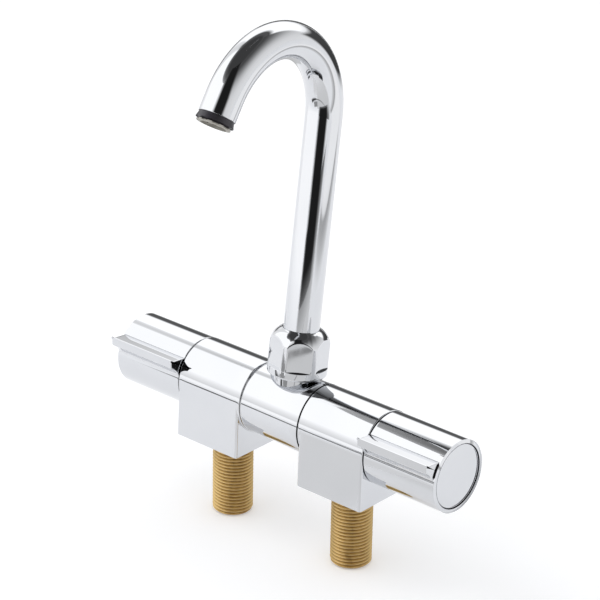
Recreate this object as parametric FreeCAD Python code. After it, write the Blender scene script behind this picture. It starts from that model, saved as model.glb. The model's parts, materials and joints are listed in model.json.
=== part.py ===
"""Folding two-handle mixer tap for a boat or caravan worktop.

Millimetres. X runs along the handle bar to the user's right, -Y faces the user and +Z is up.
The origin lies on the worktop, midway between the two threaded shanks. The spout folds about
the bar's own axis, and hot and cold water reach it through two hollow journals on that axis.
"""

import FreeCAD, Part

import math
import os

V = FreeCAD.Vector

# Main sizes
AXIS_HEIGHT = 28.0        # worktop to the fold axis
BODY_D = 37.5             # drums of the two blocks and of the centre body
SHANK_SPACING = 80.0
CENTRE_WIDTH = 38.0       # centre body, between its end faces
BLOCK_LENGTH = 41.3       # one block's drum
HANDLE_D = 37.0
HANDLE_LENGTH = 43.15
SPOUT_D = 18.0
SPOUT_BEND_START = 150.4  # from the fold axis, along the tube
SPOUT_BEND_R = 42.5
SPOUT_BEND_ANGLE = 152.0
SPOUT_TAIL = 8.5          # straight tube after the bend
SPOUT_LEAN = 7.0          # backwards, degrees
SPOUT_TURN = 4.4          # towards the right handle, degrees
NUT_ACROSS_FLATS = 27.0
NUT_D = 30.0
NUT_FACET_TURN = 42.0     # a flat of the hexagon faces this far round from -Y
NUT_BASE = 19.25          # from the fold axis, along the tube
NUT_TOP = 43.0
SHANK_THREAD_D = 20.955   # G1/2 pipe thread
SHANK_LENGTH = 42.0       # below the worktop

# Clearances and walls
FACE_GAP = 0.3            # centre body to each block
HANDLE_GAP = 0.6          # block to handle
RUNNING_FIT = 0.05        # radial, journals and stems
TUBE_FIT = 0.1            # radial, nut round the spout
THREAD_FIT = 0.03         # radial, threads drawn as plain cylinders
SEAL_FIT = 0.02           # radial, rubber rings in their bores
DISC_GAP = 0.02           # between lapped ceramic faces
AXIAL_PLAY = 0.1          # end float of rings, collars and stems

# Foot of a block
FOOT_STEP = 0.9           # the foot starts this far outside the drum's inner end
FOOT_DRAFT = 1.7          # front and back faces, degrees
FOOT_END_DRAFT = 0.8      # outer end face, degrees
FOOT_CORNER_R = 1.2
DRUM_EDGE_R = 0.4
SHANK_GRIP = 9.0          # spigot inside the foot
SHANK_SPIGOT_D = 19.0
SHANK_RELIEF = 1.0        # plain neck between the thread and the foot
SPOT_FACE_GAP = 0.4       # spot face in the foot, wider than the thread on each side
SPOT_FACE_DEPTH = 0.3
SHANK_BORE_D = 14.0
SHANK_CHAMFER = 1.2
RISER_D = 9.0             # water way from the shank up to the cartridge

# Folding joint
JOURNAL_D = 22.0
JOURNAL_LENGTH = 13.0
JOURNAL_BORE_D = 13.0
JOURNAL_END_SPACE = 1.0
RING_CORD = 1.78          # journal and spout rubber rings
RING_GROOVE_W = 2.3
OUTER_RING_AT = 3.2       # from the centre body's end face
STOP_GROOVE_AT = 7.0
INNER_RING_AT = 10.8
STOP_GROOVE_DEPTH = 1.9
FOLD_FORWARD = 97.0       # joint travel, degrees
FOLD_BACK = 83.0
STOP_MARGIN = 1.0         # extra travel in the groove, degrees
STOP_SCREW_D = 5.0
STOP_DOG_D = 3.5
STOP_SCREW_LENGTH = 8.0
STOP_SCREW_ANGLE = -90.0  # straight below the fold axis
STOP_DOG_CLEAR = 0.3      # dog point to the groove's floor and sides
HEX_KEY_DEPTH = 3.0

# Cartridge, measured outwards from its seat
SEAT_WALL = 3.0
SEAT_BORE_D = 10.0
CHAMBER_D = 20.0
CHAMBER_LENGTH = 14.0
CARTRIDGE_THREAD_D = 20.955
MOUTH_D = 23.8
MOUTH_DEPTH = 1.6
CARTRIDGE_D = 17.8
CARTRIDGE_START = 0.6
SEAL_HEIGHT = 2.6
DISC_D = 15.0
DISC_THICKNESS = 2.0
MOVING_DISC_THICKNESS = 2.6
TANG_HALF = 14.0          # half angle of a tang that drives the moving disc, degrees
TANG_DEPTH = 1.2          # along the axis, and in from the rim
TANG_ROOM = 0.1           # for each degree of room at the tang's sides
FOOT_THICKNESS = 3.4
DISC_PORT_HALF = 38.0     # half angle of one water port, degrees
DISC_PORT_IN = 2.6
DISC_PORT_OUT = 5.6
WINDOW_HALF = 50.0
WINDOW_FROM = 5.2
WINDOW_TO = 10.2
STEM_D = 9.0
KEY_D = 14.6
KEY_HALF = 20.0
KEY_MIDDLE = 135.0        # where the spindle's key stands with the tap shut
QUARTER_TURN = 90.0
KEY_MARGIN = 0.6          # degrees at each end of the turn
KEY_POCKET = 3.0
FLANGE_D = 25.0
FLANGE_THICKNESS = 1.2
CARTRIDGE_HEX = 21.0
CARTRIDGE_HEX_LENGTH = 3.3
NECK_D = 14.0
NECK_LENGTH = 5.5
STEM_RING_CORD = 1.2
STEM_RING_GROOVE_W = 1.6
CIRCLIP_D = 11.4
CIRCLIP_THICKNESS = 0.8
SPLINE_D = 7.8
SPLINE_TEETH = 20
SPLINE_TOOTH = 0.35
SPLINE_LENGTH = 8.0

# Handle
HANDLE_RIM_R = 0.9
FIN_TOP_ANGLE = 42.0      # above -Y, where the flank leaves the drum
FIN_UNDER_ANGLE = 12.0
FIN_TIP_TOP = (28.3, 33.2)     # radius and angle of the tip's upper corner
FIN_TIP_UNDER = (25.45, 22.6)  # and of its lower corner
FIN_UNDER_HOLLOW = 0.7
FIN_TIP_R = 1.0
FIN_END_SETBACK = 1.05
HANDLE_CAVITY_D = 31.0
HUB_D = 19.0
HUB_HEX = 13.0
HANDLE_WEB = 3.0
SCREW_SHANK_D = 4.0
SCREW_HEAD_D = 7.0
SCREW_HEAD_H = 3.0
SCREW_LENGTH = 10.0
SCREW_KEY = 3.0           # across the flats of its hexagon socket
SCREW_KEY_DEPTH = 1.8
OUTER_CAVITY_D = 28.0
CAP_D = 32.1
CAP_GAP = 0.2
CAP_THICKNESS = 2.3
CAP_SET_IN = 0.1
CAP_SKIRT_LENGTH = 5.0
CAP_SKIRT_WALL = 1.0

# Spout and nut
TUBE_WALL = 1.2
NUT_COLLAR = 4.35         # round part below the hexagon
NUT_EDGE_R = 1.2
NUT_SHOULDER = 36.0       # where the dome starts, from the fold axis
NUT_DOME_MID = (13.6, 39.2)    # radius and place of a point half way up the dome
NUT_DOME_END = (10.0, 42.6)
NECK_OUTER_D = 22.4
SPOUT_NECK_TOP = 33.9     # from the fold axis
SPOUT_SOCKET_D = 16.1
SPOUT_SOCKET_FLOOR = 20.5
COLLAR_D = 21.6
COLLAR_THICKNESS = 2.0
SLIP_RING_THICKNESS = 1.0
SPIGOT_END = 21.5         # lower end of the spout's spigot, from the fold axis
SPIGOT_BORE_D = 11.0
SPIGOT_RINGS_AT = (24.5, 29.5)

# Outlet
OUTLET_RING_LENGTH = 3.6
OUTLET_RING_D = 18.4
OUTLET_RING_EDGE_R = 0.5
OUTLET_RING_BORE = 14.4
OUTLET_SKIRT = 5.0
STRAIGHTENER_D = 14.0
STRAIGHTENER_WALL = 1.0
STRAIGHTENER_RIB = 0.8
STRAIGHTENER_CUP = 6.0    # length of the cup inside the ring
RIM_D = 16.6              # the straightener's rim, outside the ring
RIM_THICKNESS = 0.9
RIM_SLOTS = 9
RIM_SLOT_W = 3.4
RIM_SLOT_H = 0.5
RIM_SLOT_DEPTH = 0.9
WASHER_THICKNESS = 1.5
WASHER_BORE_D = 11.4

# Places that follow
BODY_R = BODY_D / 2
CENTRE_END = CENTRE_WIDTH / 2
BLOCK_IN = CENTRE_END + FACE_GAP
BLOCK_OUT = BLOCK_IN + BLOCK_LENGTH
SHANK_X = SHANK_SPACING / 2
JOURNAL_END = CENTRE_END + JOURNAL_LENGTH
SEAT_IN = JOURNAL_END + JOURNAL_END_SPACE
SEAT = SEAT_IN + SEAT_WALL
STOP_SCREW_X = CENTRE_END + STOP_GROOVE_AT
STOP_SCREW_TOP = JOURNAL_D / 2 + RUNNING_FIT + STOP_DOG_CLEAR
HANDLE_IN = BLOCK_OUT + HANDLE_GAP
HANDLE_OUT = HANDLE_IN + HANDLE_LENGTH
FIXED_DISC_IN = SEAT + SEAL_HEIGHT
FIXED_DISC_OUT = FIXED_DISC_IN + DISC_THICKNESS
MOVING_DISC_IN = FIXED_DISC_OUT + DISC_GAP
MOVING_DISC_OUT = MOVING_DISC_IN + MOVING_DISC_THICKNESS
SPINDLE_FOOT_OUT = MOVING_DISC_OUT + FOOT_THICKNESS
KEY_POCKET_IN = SPINDLE_FOOT_OUT + AXIAL_PLAY
KEY_POCKET_OUT = KEY_POCKET_IN + KEY_POCKET
FLANGE_OUT = BLOCK_OUT + FLANGE_THICKNESS
CARTRIDGE_HEX_OUT = FLANGE_OUT + CARTRIDGE_HEX_LENGTH
NECK_OUT = CARTRIDGE_HEX_OUT + NECK_LENGTH
CIRCLIP_IN = NECK_OUT + AXIAL_PLAY
SPLINE_IN = CIRCLIP_IN + CIRCLIP_THICKNESS + 1.0
SPLINE_OUT = SPLINE_IN + SPLINE_LENGTH
STEM_RINGS_AT = (KEY_POCKET_OUT + 5.0, KEY_POCKET_OUT + 10.0)
HUB_IN = SPLINE_IN + AXIAL_PLAY
WEB_IN = SPLINE_OUT + 2.0
WEB_OUT = WEB_IN + HANDLE_WEB
CAP_IN = HANDLE_OUT - CAP_SET_IN - CAP_THICKNESS
COLLAR_BASE = SPOUT_NECK_TOP + AXIAL_PLAY
COLLAR_TOP = COLLAR_BASE + COLLAR_THICKNESS
SLIP_RING_BASE = COLLAR_TOP + AXIAL_PLAY / 2
NUT_LEDGE = SLIP_RING_BASE + SLIP_RING_THICKNESS + AXIAL_PLAY / 2


# Shapes about the fold axis

def drum(diameter, start, end):
    """Solid cylinder on the fold axis, between two places along X."""
    return Part.makeCylinder(diameter / 2, end - start, V(start, 0, AXIS_HEIGHT), V(1, 0, 0))


def tube(outer, bore, start, end):
    """Hollow cylinder on the fold axis."""
    return drum(outer, start, end).cut(drum(bore, start, end))


def polygon(points):
    """Flat face with straight sides."""
    return Part.Face(Part.makePolygon(points + points[:1]))


def on_axis(angle, radius):
    """Y and Z of a point round the fold axis; angles rise from -Y towards +Z."""
    turn = math.radians(angle)
    return -radius * math.cos(turn), AXIS_HEIGHT + radius * math.sin(turn)


def wedge(diameter, start, end, middle, half_angle):
    """Pie-slice of a drum, centred on one angle."""
    slice_ = Part.makeCylinder(diameter / 2, end - start, V(0, 0, 0), V(0, 0, 1), 2 * half_angle)
    slice_.rotate(V(0, 0, 0), V(0, 0, 1), middle - half_angle)
    frame = FreeCAD.Matrix(0, 0, -1, end, -1, 0, 0, 0, 0, 1, 0, AXIS_HEIGHT, 0, 0, 0, 1)
    slice_.Placement = FreeCAD.Placement(frame).multiply(slice_.Placement)
    return slice_


def hex_drum(across_flats, start, end):
    """Hexagonal bar on the fold axis."""
    corner = across_flats / 2 / math.cos(math.radians(30))
    points = [V(start, *on_axis(60 * side, corner)) for side in range(6)]
    return polygon(points).extrude(V(end - start, 0, 0))


def rubber_ring(outer, cord, at):
    """O-ring round the fold axis."""
    return Part.makeTorus(outer / 2 - cord / 2, cord / 2, V(at, 0, AXIS_HEIGHT), V(1, 0, 0))


def both_sides(right):
    """The right-hand piece and its mirror image on the left."""
    return {"right": right, "left": right.mirror(V(0, 0, 0), V(1, 0, 0))}


# Shapes along the spout, drawn upright from the fold axis and leaned at the end

def post(diameter, start, end):
    """Solid cylinder along the upright spout axis."""
    return Part.makeCylinder(diameter / 2, end - start, V(0, 0, AXIS_HEIGHT + start))


def lean(shape, turn=0.0):
    """Turn a shape about the spout's own axis, then lean it back about the fold axis."""
    leaned = shape.copy()
    leaned.rotate(V(0, 0, AXIS_HEIGHT), V(0, 0, 1), turn)
    leaned.rotate(V(0, 0, AXIS_HEIGHT), V(1, 0, 0), -SPOUT_LEAN)
    return leaned


# Blocks

def foot():
    """Tapered foot whose front and back faces run tangent into the drum."""
    draft = math.radians(FOOT_DRAFT)
    top = AXIS_HEIGHT + BODY_R * math.sin(draft)
    half_top = BODY_R * math.cos(draft)
    half_base = half_top + top * math.tan(draft)
    inner = BLOCK_IN + FOOT_STEP
    outer_base = BLOCK_OUT + top * math.tan(math.radians(FOOT_END_DRAFT))
    across = polygon([V(inner, -half_base, 0), V(inner, half_base, 0),
                      V(inner, half_top, top), V(inner, -half_top, top)])
    along = polygon([V(inner, -half_base, 0), V(outer_base, -half_base, 0),
                     V(BLOCK_OUT, -half_base, top), V(inner, -half_base, top)])
    taper = across.extrude(V(outer_base - inner, 0, 0)).common(
        along.extrude(V(0, 2 * half_base, 0)))
    upright = [e for e in taper.Edges if e.BoundBox.ZLength > AXIS_HEIGHT / 2]
    return taper.makeFillet(FOOT_CORNER_R, upright)


def block():
    """One cast block with its journal bore, seat, cartridge chamber and shank socket."""
    body = drum(BODY_D, BLOCK_IN, BLOCK_OUT)
    body = body.makeFillet(DRUM_EDGE_R, [e for e in body.Edges if is_circle(e)])
    body = body.fuse(foot())
    bore = JOURNAL_D + 2 * RUNNING_FIT
    thread = CARTRIDGE_THREAD_D + 2 * THREAD_FIT
    riser_top = AXIS_HEIGHT - CHAMBER_D / 2 + 1.0
    cuts = [
        drum(bore, BLOCK_IN - 1, SEAT_IN),
        drum(SEAT_BORE_D, SEAT_IN - 1, SEAT + 1),
        drum(CHAMBER_D, SEAT, SEAT + CHAMBER_LENGTH),
        drum(thread, SEAT + CHAMBER_LENGTH, BLOCK_OUT + 1),
        drum(MOUTH_D, BLOCK_OUT - MOUTH_DEPTH, BLOCK_OUT + 1),
        drum(FLANGE_D + 0.4, BLOCK_OUT, BLOCK_OUT + 1),
        upright_pin(SHANK_THREAD_D + 2 * SPOT_FACE_GAP, SHANK_X, -1, SPOT_FACE_DEPTH),
        upright_pin(SHANK_SPIGOT_D + 2 * THREAD_FIT, SHANK_X, -1, SHANK_GRIP + 0.5),
        upright_pin(RISER_D, SHANK_X, SHANK_GRIP, riser_top),
        upright_pin(STOP_SCREW_D + 2 * THREAD_FIT, STOP_SCREW_X, -1,
                    AXIS_HEIGHT - STOP_SCREW_TOP),
        upright_pin(STOP_DOG_D + 2 * THREAD_FIT, STOP_SCREW_X, AXIS_HEIGHT - STOP_SCREW_TOP - 1,
                    AXIS_HEIGHT - JOURNAL_D / 2 + 1),
    ]
    return body.cut(cuts).removeSplitter()


def is_circle(edge):
    """True for a full circular edge."""
    return isinstance(edge.Curve, Part.Circle) and edge.isClosed()


def upright_pin(diameter, at_x, bottom, top):
    """Vertical cylinder below the fold axis."""
    return Part.makeCylinder(diameter / 2, top - bottom, V(at_x, 0, bottom))


def shank():
    """Threaded shank with a plain neck under the foot and a spigot inside it."""
    stem = upright_pin(SHANK_THREAD_D, SHANK_X, -SHANK_LENGTH, -SHANK_RELIEF)
    tip = [e for e in stem.Edges if is_circle(e) and e.Curve.Center.z < -SHANK_LENGTH / 2]
    stem = stem.makeChamfer(SHANK_CHAMFER, tip)
    stem = stem.fuse(upright_pin(SHANK_SPIGOT_D, SHANK_X, -SHANK_LENGTH / 2, SHANK_GRIP))
    return stem.cut(upright_pin(SHANK_BORE_D, SHANK_X, -SHANK_LENGTH - 1, SHANK_GRIP + 1))


def retaining_screw():
    """Dog-point grub screw that keeps a journal in its block and stops the fold."""
    top = AXIS_HEIGHT - STOP_SCREW_TOP
    floor = AXIS_HEIGHT - JOURNAL_D / 2 + STOP_GROOVE_DEPTH
    screw = upright_pin(STOP_SCREW_D, STOP_SCREW_X, top - STOP_SCREW_LENGTH, top - AXIAL_PLAY)
    screw = screw.fuse(upright_pin(STOP_DOG_D, STOP_SCREW_X, top - 1, floor - STOP_DOG_CLEAR))
    socket_r = STOP_SCREW_D / 4
    points = [V(STOP_SCREW_X + socket_r * math.cos(math.radians(60 * side)),
                socket_r * math.sin(math.radians(60 * side)), top - STOP_SCREW_LENGTH)
              for side in range(6)]
    socket = polygon(points).extrude(V(0, 0, HEX_KEY_DEPTH))
    return screw.cut(socket).removeSplitter()


# Centre body, nut and spout

def stop_groove():
    """Part-circumference groove for the dog point, as long as the fold's travel."""
    start = CENTRE_END + STOP_GROOVE_AT - STOP_DOG_D / 2 - STOP_DOG_CLEAR
    end = CENTRE_END + STOP_GROOVE_AT + STOP_DOG_D / 2 + STOP_DOG_CLEAR
    floor_d = JOURNAL_D - 2 * STOP_GROOVE_DEPTH
    dog_half = math.degrees(math.asin(STOP_DOG_D / floor_d))
    half = (FOLD_FORWARD + FOLD_BACK) / 2 + dog_half + STOP_MARGIN
    middle = STOP_SCREW_ANGLE + (FOLD_FORWARD - FOLD_BACK) / 2
    return wedge(JOURNAL_D + 2, start, end, middle, half).cut(drum(floor_d, start, end))


def journal_rings():
    """Places of the two rubber rings on a journal."""
    return [CENTRE_END + OUTER_RING_AT, CENTRE_END + INNER_RING_AT]


def centre_body():
    """Swinging middle: a drum with two hollow journals and a threaded neck for the spout."""
    body = drum(BODY_D, -CENTRE_END, CENTRE_END)
    body = body.makeFillet(DRUM_EDGE_R, [e for e in body.Edges if is_circle(e)])
    ring_d = JOURNAL_D + 2 * (RUNNING_FIT - SEAL_FIT)
    groove_floor = ring_d - 2 * RING_CORD
    journal = drum(JOURNAL_D, CENTRE_END - 1, JOURNAL_END)
    for at in journal_rings():
        start = at - RING_GROOVE_W / 2
        journal = journal.cut(tube(JOURNAL_D + 2, groove_floor, start, start + RING_GROOVE_W))
    journal = journal.cut(stop_groove())
    body = body.fuse(list(both_sides(journal).values()))
    body = body.fuse(lean(post(NECK_OUTER_D, 0, SPOUT_NECK_TOP)))
    cuts = [
        drum(JOURNAL_BORE_D, -JOURNAL_END - 1, JOURNAL_END + 1),
        lean(post(SPOUT_SOCKET_D, SPOUT_SOCKET_FLOOR, SPOUT_NECK_TOP + 1)),
        lean(post(SPIGOT_BORE_D, 0, SPOUT_SOCKET_FLOOR + 1)),
    ]
    return body.cut(cuts).removeSplitter()


def journal_o_rings():
    """The four rubber rings of the fold joint."""
    ring_d = JOURNAL_D + 2 * (RUNNING_FIT - SEAL_FIT)
    rings = []
    for at in journal_rings():
        rings += both_sides(rubber_ring(ring_d, RING_CORD, at)).values()
    return Part.makeCompound(rings)


def turned(points, middle_arcs=None):
    """Solid of revolution about the upright spout axis; an arc may replace a straight run."""
    edges = []
    corners = [V(radius, 0, AXIS_HEIGHT + height) for radius, height in points]
    for index, start in enumerate(corners):
        end = corners[(index + 1) % len(corners)]
        through = (middle_arcs or {}).get(index)
        if through:
            middle = V(through[0], 0, AXIS_HEIGHT + through[1])
            edges.append(Part.Arc(start, middle, end).toShape())
        else:
            edges.append(Part.LineSegment(start, end).toShape())
    face = Part.Face(Part.Wire(edges))
    return face.revolve(V(0, 0, 0), V(0, 0, 1), 360)


def swivel_nut():
    """Hexagon nut with a round collar below and a domed shoulder above."""
    outer = NUT_D / 2
    bore = SPOUT_D / 2 + TUBE_FIT
    edge = NUT_EDGE_R * (1 - math.sqrt(0.5))
    hex_base = NUT_BASE + NUT_COLLAR
    profile = [(0, NUT_BASE), (outer - NUT_EDGE_R, NUT_BASE), (outer, NUT_BASE + NUT_EDGE_R),
               (outer, NUT_SHOULDER), NUT_DOME_END, (bore + 0.4, NUT_TOP), (0, NUT_TOP)]
    arcs = {1: (outer - edge, NUT_BASE + edge), 3: NUT_DOME_MID}
    body = turned(profile, arcs)
    corner = NUT_ACROSS_FLATS / 2 / math.cos(math.radians(30))
    points = [V(corner * math.sin(math.radians(60 * side + 30)),
                -corner * math.cos(math.radians(60 * side + 30)), AXIS_HEIGHT + hex_base)
              for side in range(6)]
    hexagon = polygon(points).extrude(V(0, 0, NUT_D))
    body = body.cut(post(2 * NUT_D, hex_base, NUT_TOP + 1).cut(hexagon))
    inside = [
        post(NECK_OUTER_D + 2 * THREAD_FIT, NUT_BASE - 1, NUT_LEDGE),
        post(2 * bore, NUT_BASE, NUT_TOP + 1),
    ]
    return lean(body.cut(inside), NUT_FACET_TURN)


def slip_ring():
    """Nylon ring between the spout's collar and the nut."""
    ring = post(COLLAR_D, SLIP_RING_BASE, SLIP_RING_BASE + SLIP_RING_THICKNESS)
    return lean(ring.cut(post(SPOUT_D + 2 * TUBE_FIT, SLIP_RING_BASE - 1, NUT_LEDGE + 1)))


def bend_frame():
    """Centre of the spout's bend and its outlet end, in the upright spout plane."""
    centre = V(0, -SPOUT_BEND_R, AXIS_HEIGHT + SPOUT_BEND_START)
    turn = math.radians(SPOUT_BEND_ANGLE)
    end = centre + V(0, SPOUT_BEND_R * math.cos(turn), SPOUT_BEND_R * math.sin(turn))
    heading = V(0, -math.sin(turn), math.cos(turn))
    return centre, end, heading


def bent_bar(diameter):
    """Straight run, bend and tail of one diameter."""
    centre, end, heading = bend_frame()
    start = V(0, 0, AXIS_HEIGHT + SPOUT_BEND_START)
    circle = Part.Face(Part.Wire(Part.makeCircle(diameter / 2, start, V(0, 0, 1))))
    bend = circle.revolve(centre, V(1, 0, 0), SPOUT_BEND_ANGLE)
    straight = post(diameter, COLLAR_BASE, SPOUT_BEND_START)
    tail = Part.makeCylinder(diameter / 2, SPOUT_TAIL, end, heading)
    return straight.fuse([bend, tail])


def spout_tube():
    """Bent tube with its collar and the spigot that turns in the centre body."""
    spigot = post(SPOUT_SOCKET_D - 2 * RUNNING_FIT, SPIGOT_END, COLLAR_BASE + 1)
    floor = SPOUT_SOCKET_D - 2 * SEAL_FIT - 2 * RING_CORD
    for at in SPIGOT_RINGS_AT:
        start = at - RING_GROOVE_W / 2
        groove = post(SPOUT_SOCKET_D + 2, start, start + RING_GROOVE_W)
        spigot = spigot.cut(groove.cut(post(floor, start, start + RING_GROOVE_W)))
    collar = post(COLLAR_D, COLLAR_BASE, COLLAR_TOP)
    body = bent_bar(SPOUT_D).cut(bent_bar(SPOUT_D - 2 * TUBE_WALL))
    body = body.fuse([spigot, collar]).cut(post(SPIGOT_BORE_D, SPIGOT_END - 1, COLLAR_TOP + 1))
    return lean(body.removeSplitter(), SPOUT_TURN)


def spout_o_rings():
    """Two rubber rings on the spout's spigot."""
    radius = SPOUT_SOCKET_D / 2 - SEAL_FIT - RING_CORD / 2
    rings = [Part.makeTorus(radius, RING_CORD / 2, V(0, 0, AXIS_HEIGHT + at))
             for at in SPIGOT_RINGS_AT]
    return lean(Part.makeCompound(rings), SPOUT_TURN)


def at_outlet(shape):
    """Carry a shape drawn along +Z from the tube's end to the spout's outlet."""
    _, end, heading = bend_frame()
    placed = shape.copy()
    placed.rotate(V(0, 0, 0), V(1, 0, 0), SPOUT_BEND_ANGLE)
    placed.translate(end + heading * SPOUT_TAIL)
    return lean(placed, SPOUT_TURN)


def outlet_tube(outer, bore, start, end):
    """Ring about the outlet's axis, measured outwards from the tube's end."""
    ring = Part.makeCylinder(outer / 2, end - start, V(0, 0, start))
    return ring.cut(Part.makeCylinder(bore / 2, end - start, V(0, 0, start)))


def aerator_ring():
    """Plastic outlet ring with rounded edges, its skirt pushed into the tube."""
    inner_wall = SPOUT_D - 2 * TUBE_WALL - 2 * RUNNING_FIT
    ring = outlet_tube(OUTLET_RING_D, OUTLET_RING_BORE, 0, OUTLET_RING_LENGTH)
    edges = [e for e in ring.Edges if is_circle(e) and e.Curve.Radius > RIM_D / 2]
    ring = ring.makeFillet(OUTLET_RING_EDGE_R, edges)
    ring = ring.fuse(outlet_tube(inner_wall, OUTLET_RING_BORE, -OUTLET_SKIRT, 0.5))
    return at_outlet(ring.removeSplitter())


def aerator_insert():
    """Flow straightener: a cup with crossed ribs and a slotted rim below the ring."""
    seat = OUTLET_RING_LENGTH + AXIAL_PLAY / 2
    end = seat + RIM_THICKNESS
    bottom = seat - STRAIGHTENER_CUP
    bore = STRAIGHTENER_D - 2 * STRAIGHTENER_WALL
    body = outlet_tube(STRAIGHTENER_D, bore, bottom, end)
    body = body.fuse(outlet_tube(RIM_D, bore, seat, end))
    for slot in range(RIM_SLOTS):
        cutter = Part.makeBox(RIM_D, RIM_SLOT_W, RIM_SLOT_H,
                              V(RIM_D / 2 - RIM_SLOT_DEPTH, -RIM_SLOT_W / 2, seat))
        cutter.rotate(V(0, 0, 0), V(0, 0, 1), 360 * slot / RIM_SLOTS)
        body = body.cut(cutter)
    ribs = []
    for turn in (0, 60, 120):
        length = STRAIGHTENER_D - STRAIGHTENER_WALL
        rib = Part.makeBox(length, STRAIGHTENER_RIB, STRAIGHTENER_CUP,
                           V(-length / 2, -STRAIGHTENER_RIB / 2, bottom))
        rib.rotate(V(0, 0, 0), V(0, 0, 1), turn)
        ribs.append(rib)
    return at_outlet(body.fuse(ribs).removeSplitter())


def aerator_washer():
    """Rubber washer between the ring's skirt and the tube."""
    outer = SPOUT_D - 2 * TUBE_WALL - 2 * SEAL_FIT
    start = -OUTLET_SKIRT - WASHER_THICKNESS
    return at_outlet(outlet_tube(outer, WASHER_BORE_D, start, -OUTLET_SKIRT))


# Cartridge

def ports(start, end, middle, half_angle, inner_r, outer_r):
    """Two opposite ring-sector cuts."""
    cuts = []
    for side in (0, 180):
        sector = wedge(2 * outer_r, start, end, middle + side, half_angle)
        cuts.append(sector.cut(drum(2 * inner_r, start, end)))
    return cuts


def cartridge_body():
    """Threaded brass shell with two side windows, a key pocket and a hexagon."""
    start = SEAT + CARTRIDGE_START
    shoulder = SEAT + CHAMBER_LENGTH
    body = drum(CARTRIDGE_D, start, shoulder + 1)
    body = body.fuse([
        drum(CARTRIDGE_THREAD_D, shoulder + 0.3, BLOCK_OUT - MOUTH_DEPTH),
        drum(CARTRIDGE_THREAD_D - 1, shoulder + 1, FLANGE_OUT),
        drum(FLANGE_D, BLOCK_OUT, FLANGE_OUT),
        hex_drum(CARTRIDGE_HEX, FLANGE_OUT - 0.2, CARTRIDGE_HEX_OUT),
        drum(NECK_D, FLANGE_OUT, NECK_OUT),
    ])
    pocket_half = QUARTER_TURN / 2 + KEY_HALF + KEY_MARGIN
    cuts = [
        drum(DISC_D + 2 * RUNNING_FIT, start - 1, KEY_POCKET_IN),
        wedge(KEY_D + 1, KEY_POCKET_IN - 0.5, KEY_POCKET_OUT, KEY_MIDDLE + QUARTER_TURN / 2,
              pocket_half),
        drum(STEM_D + 2 * RUNNING_FIT, KEY_POCKET_IN - 1, NECK_OUT + 1),
    ]
    cuts += ports(SEAT + WINDOW_FROM, SEAT + WINDOW_TO, 0, WINDOW_HALF, 1, CARTRIDGE_D)
    return body.cut(cuts).removeSplitter()


def cartridge_o_ring():
    """Rubber ring under the cartridge's flange."""
    cord = MOUTH_DEPTH - AXIAL_PLAY
    outer = MOUTH_D - 2 * SEAL_FIT
    return rubber_ring(outer, cord, BLOCK_OUT - MOUTH_DEPTH / 2)


def seat_seal():
    """Rubber seat seal between the block and the fixed disc."""
    return tube(DISC_D - 0.2, SEAT_BORE_D, SEAT, FIXED_DISC_IN)


def fixed_disc():
    """Ceramic disc with two water ports, held still in the cartridge."""
    disc = drum(DISC_D, FIXED_DISC_IN, FIXED_DISC_OUT)
    return disc.cut(ports(FIXED_DISC_IN - 1, FIXED_DISC_OUT + 1, 0, DISC_PORT_HALF,
                          DISC_PORT_IN, DISC_PORT_OUT))


def drive_slots(grow):
    """Two rim slots that let the spindle turn the moving disc, or its tangs if grow is 0."""
    slots = []
    depth = TANG_DEPTH + grow * TANG_ROOM
    for side in (0, 180):
        sector = wedge(DISC_D + 1, MOVING_DISC_OUT - depth, MOVING_DISC_OUT, side,
                       TANG_HALF + grow)
        slots.append(sector.cut(drum(DISC_D - 2 * depth, MOVING_DISC_IN, MOVING_DISC_OUT + 1)))
    return slots


def moving_disc():
    """Ceramic disc that the spindle turns; shut, its ports stand across the fixed ones."""
    disc = drum(DISC_D - 0.2, MOVING_DISC_IN, MOVING_DISC_OUT)
    disc = disc.cut(ports(MOVING_DISC_IN - 1, MOVING_DISC_OUT + 1, 90, DISC_PORT_HALF,
                          DISC_PORT_IN, DISC_PORT_OUT))
    return disc.cut(drive_slots(1.0))


def spindle():
    """Stem with a ported foot, stop key, ring grooves and a toothed end."""
    foot_d = DISC_D - 0.2
    plate = drum(foot_d, MOVING_DISC_OUT, SPINDLE_FOOT_OUT)
    plate = plate.cut(ports(MOVING_DISC_OUT - 1, SPINDLE_FOOT_OUT - 0.8, 90, DISC_PORT_HALF,
                            DISC_PORT_IN, foot_d))
    tangs = [tang.common(drum(foot_d, MOVING_DISC_IN, MOVING_DISC_OUT))
             for tang in drive_slots(0.0)]
    key = wedge(KEY_D, SPINDLE_FOOT_OUT - 0.1, KEY_POCKET_OUT - AXIAL_PLAY, KEY_MIDDLE, KEY_HALF)
    stem = drum(STEM_D, MOVING_DISC_OUT + 0.5, SPLINE_IN)
    for at in STEM_RINGS_AT:
        start = at - STEM_RING_GROOVE_W / 2
        floor = STEM_D - 2 * STEM_RING_CORD + 2 * (RUNNING_FIT - SEAL_FIT)
        stem = stem.cut(tube(STEM_D + 1, floor, start, start + STEM_RING_GROOVE_W))
    clip = tube(STEM_D + 1, SPLINE_D, CIRCLIP_IN - 0.05, CIRCLIP_IN + CIRCLIP_THICKNESS + 0.05)
    body = plate.fuse(tangs + [key, stem.cut(clip), toothed_bar(SPLINE_D, SPLINE_IN, SPLINE_OUT)])
    return body.cut(drum(SCREW_SHANK_D + 2 * THREAD_FIT, SPLINE_OUT - SCREW_LENGTH,
                         SPLINE_OUT + 1)).removeSplitter()


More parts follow.
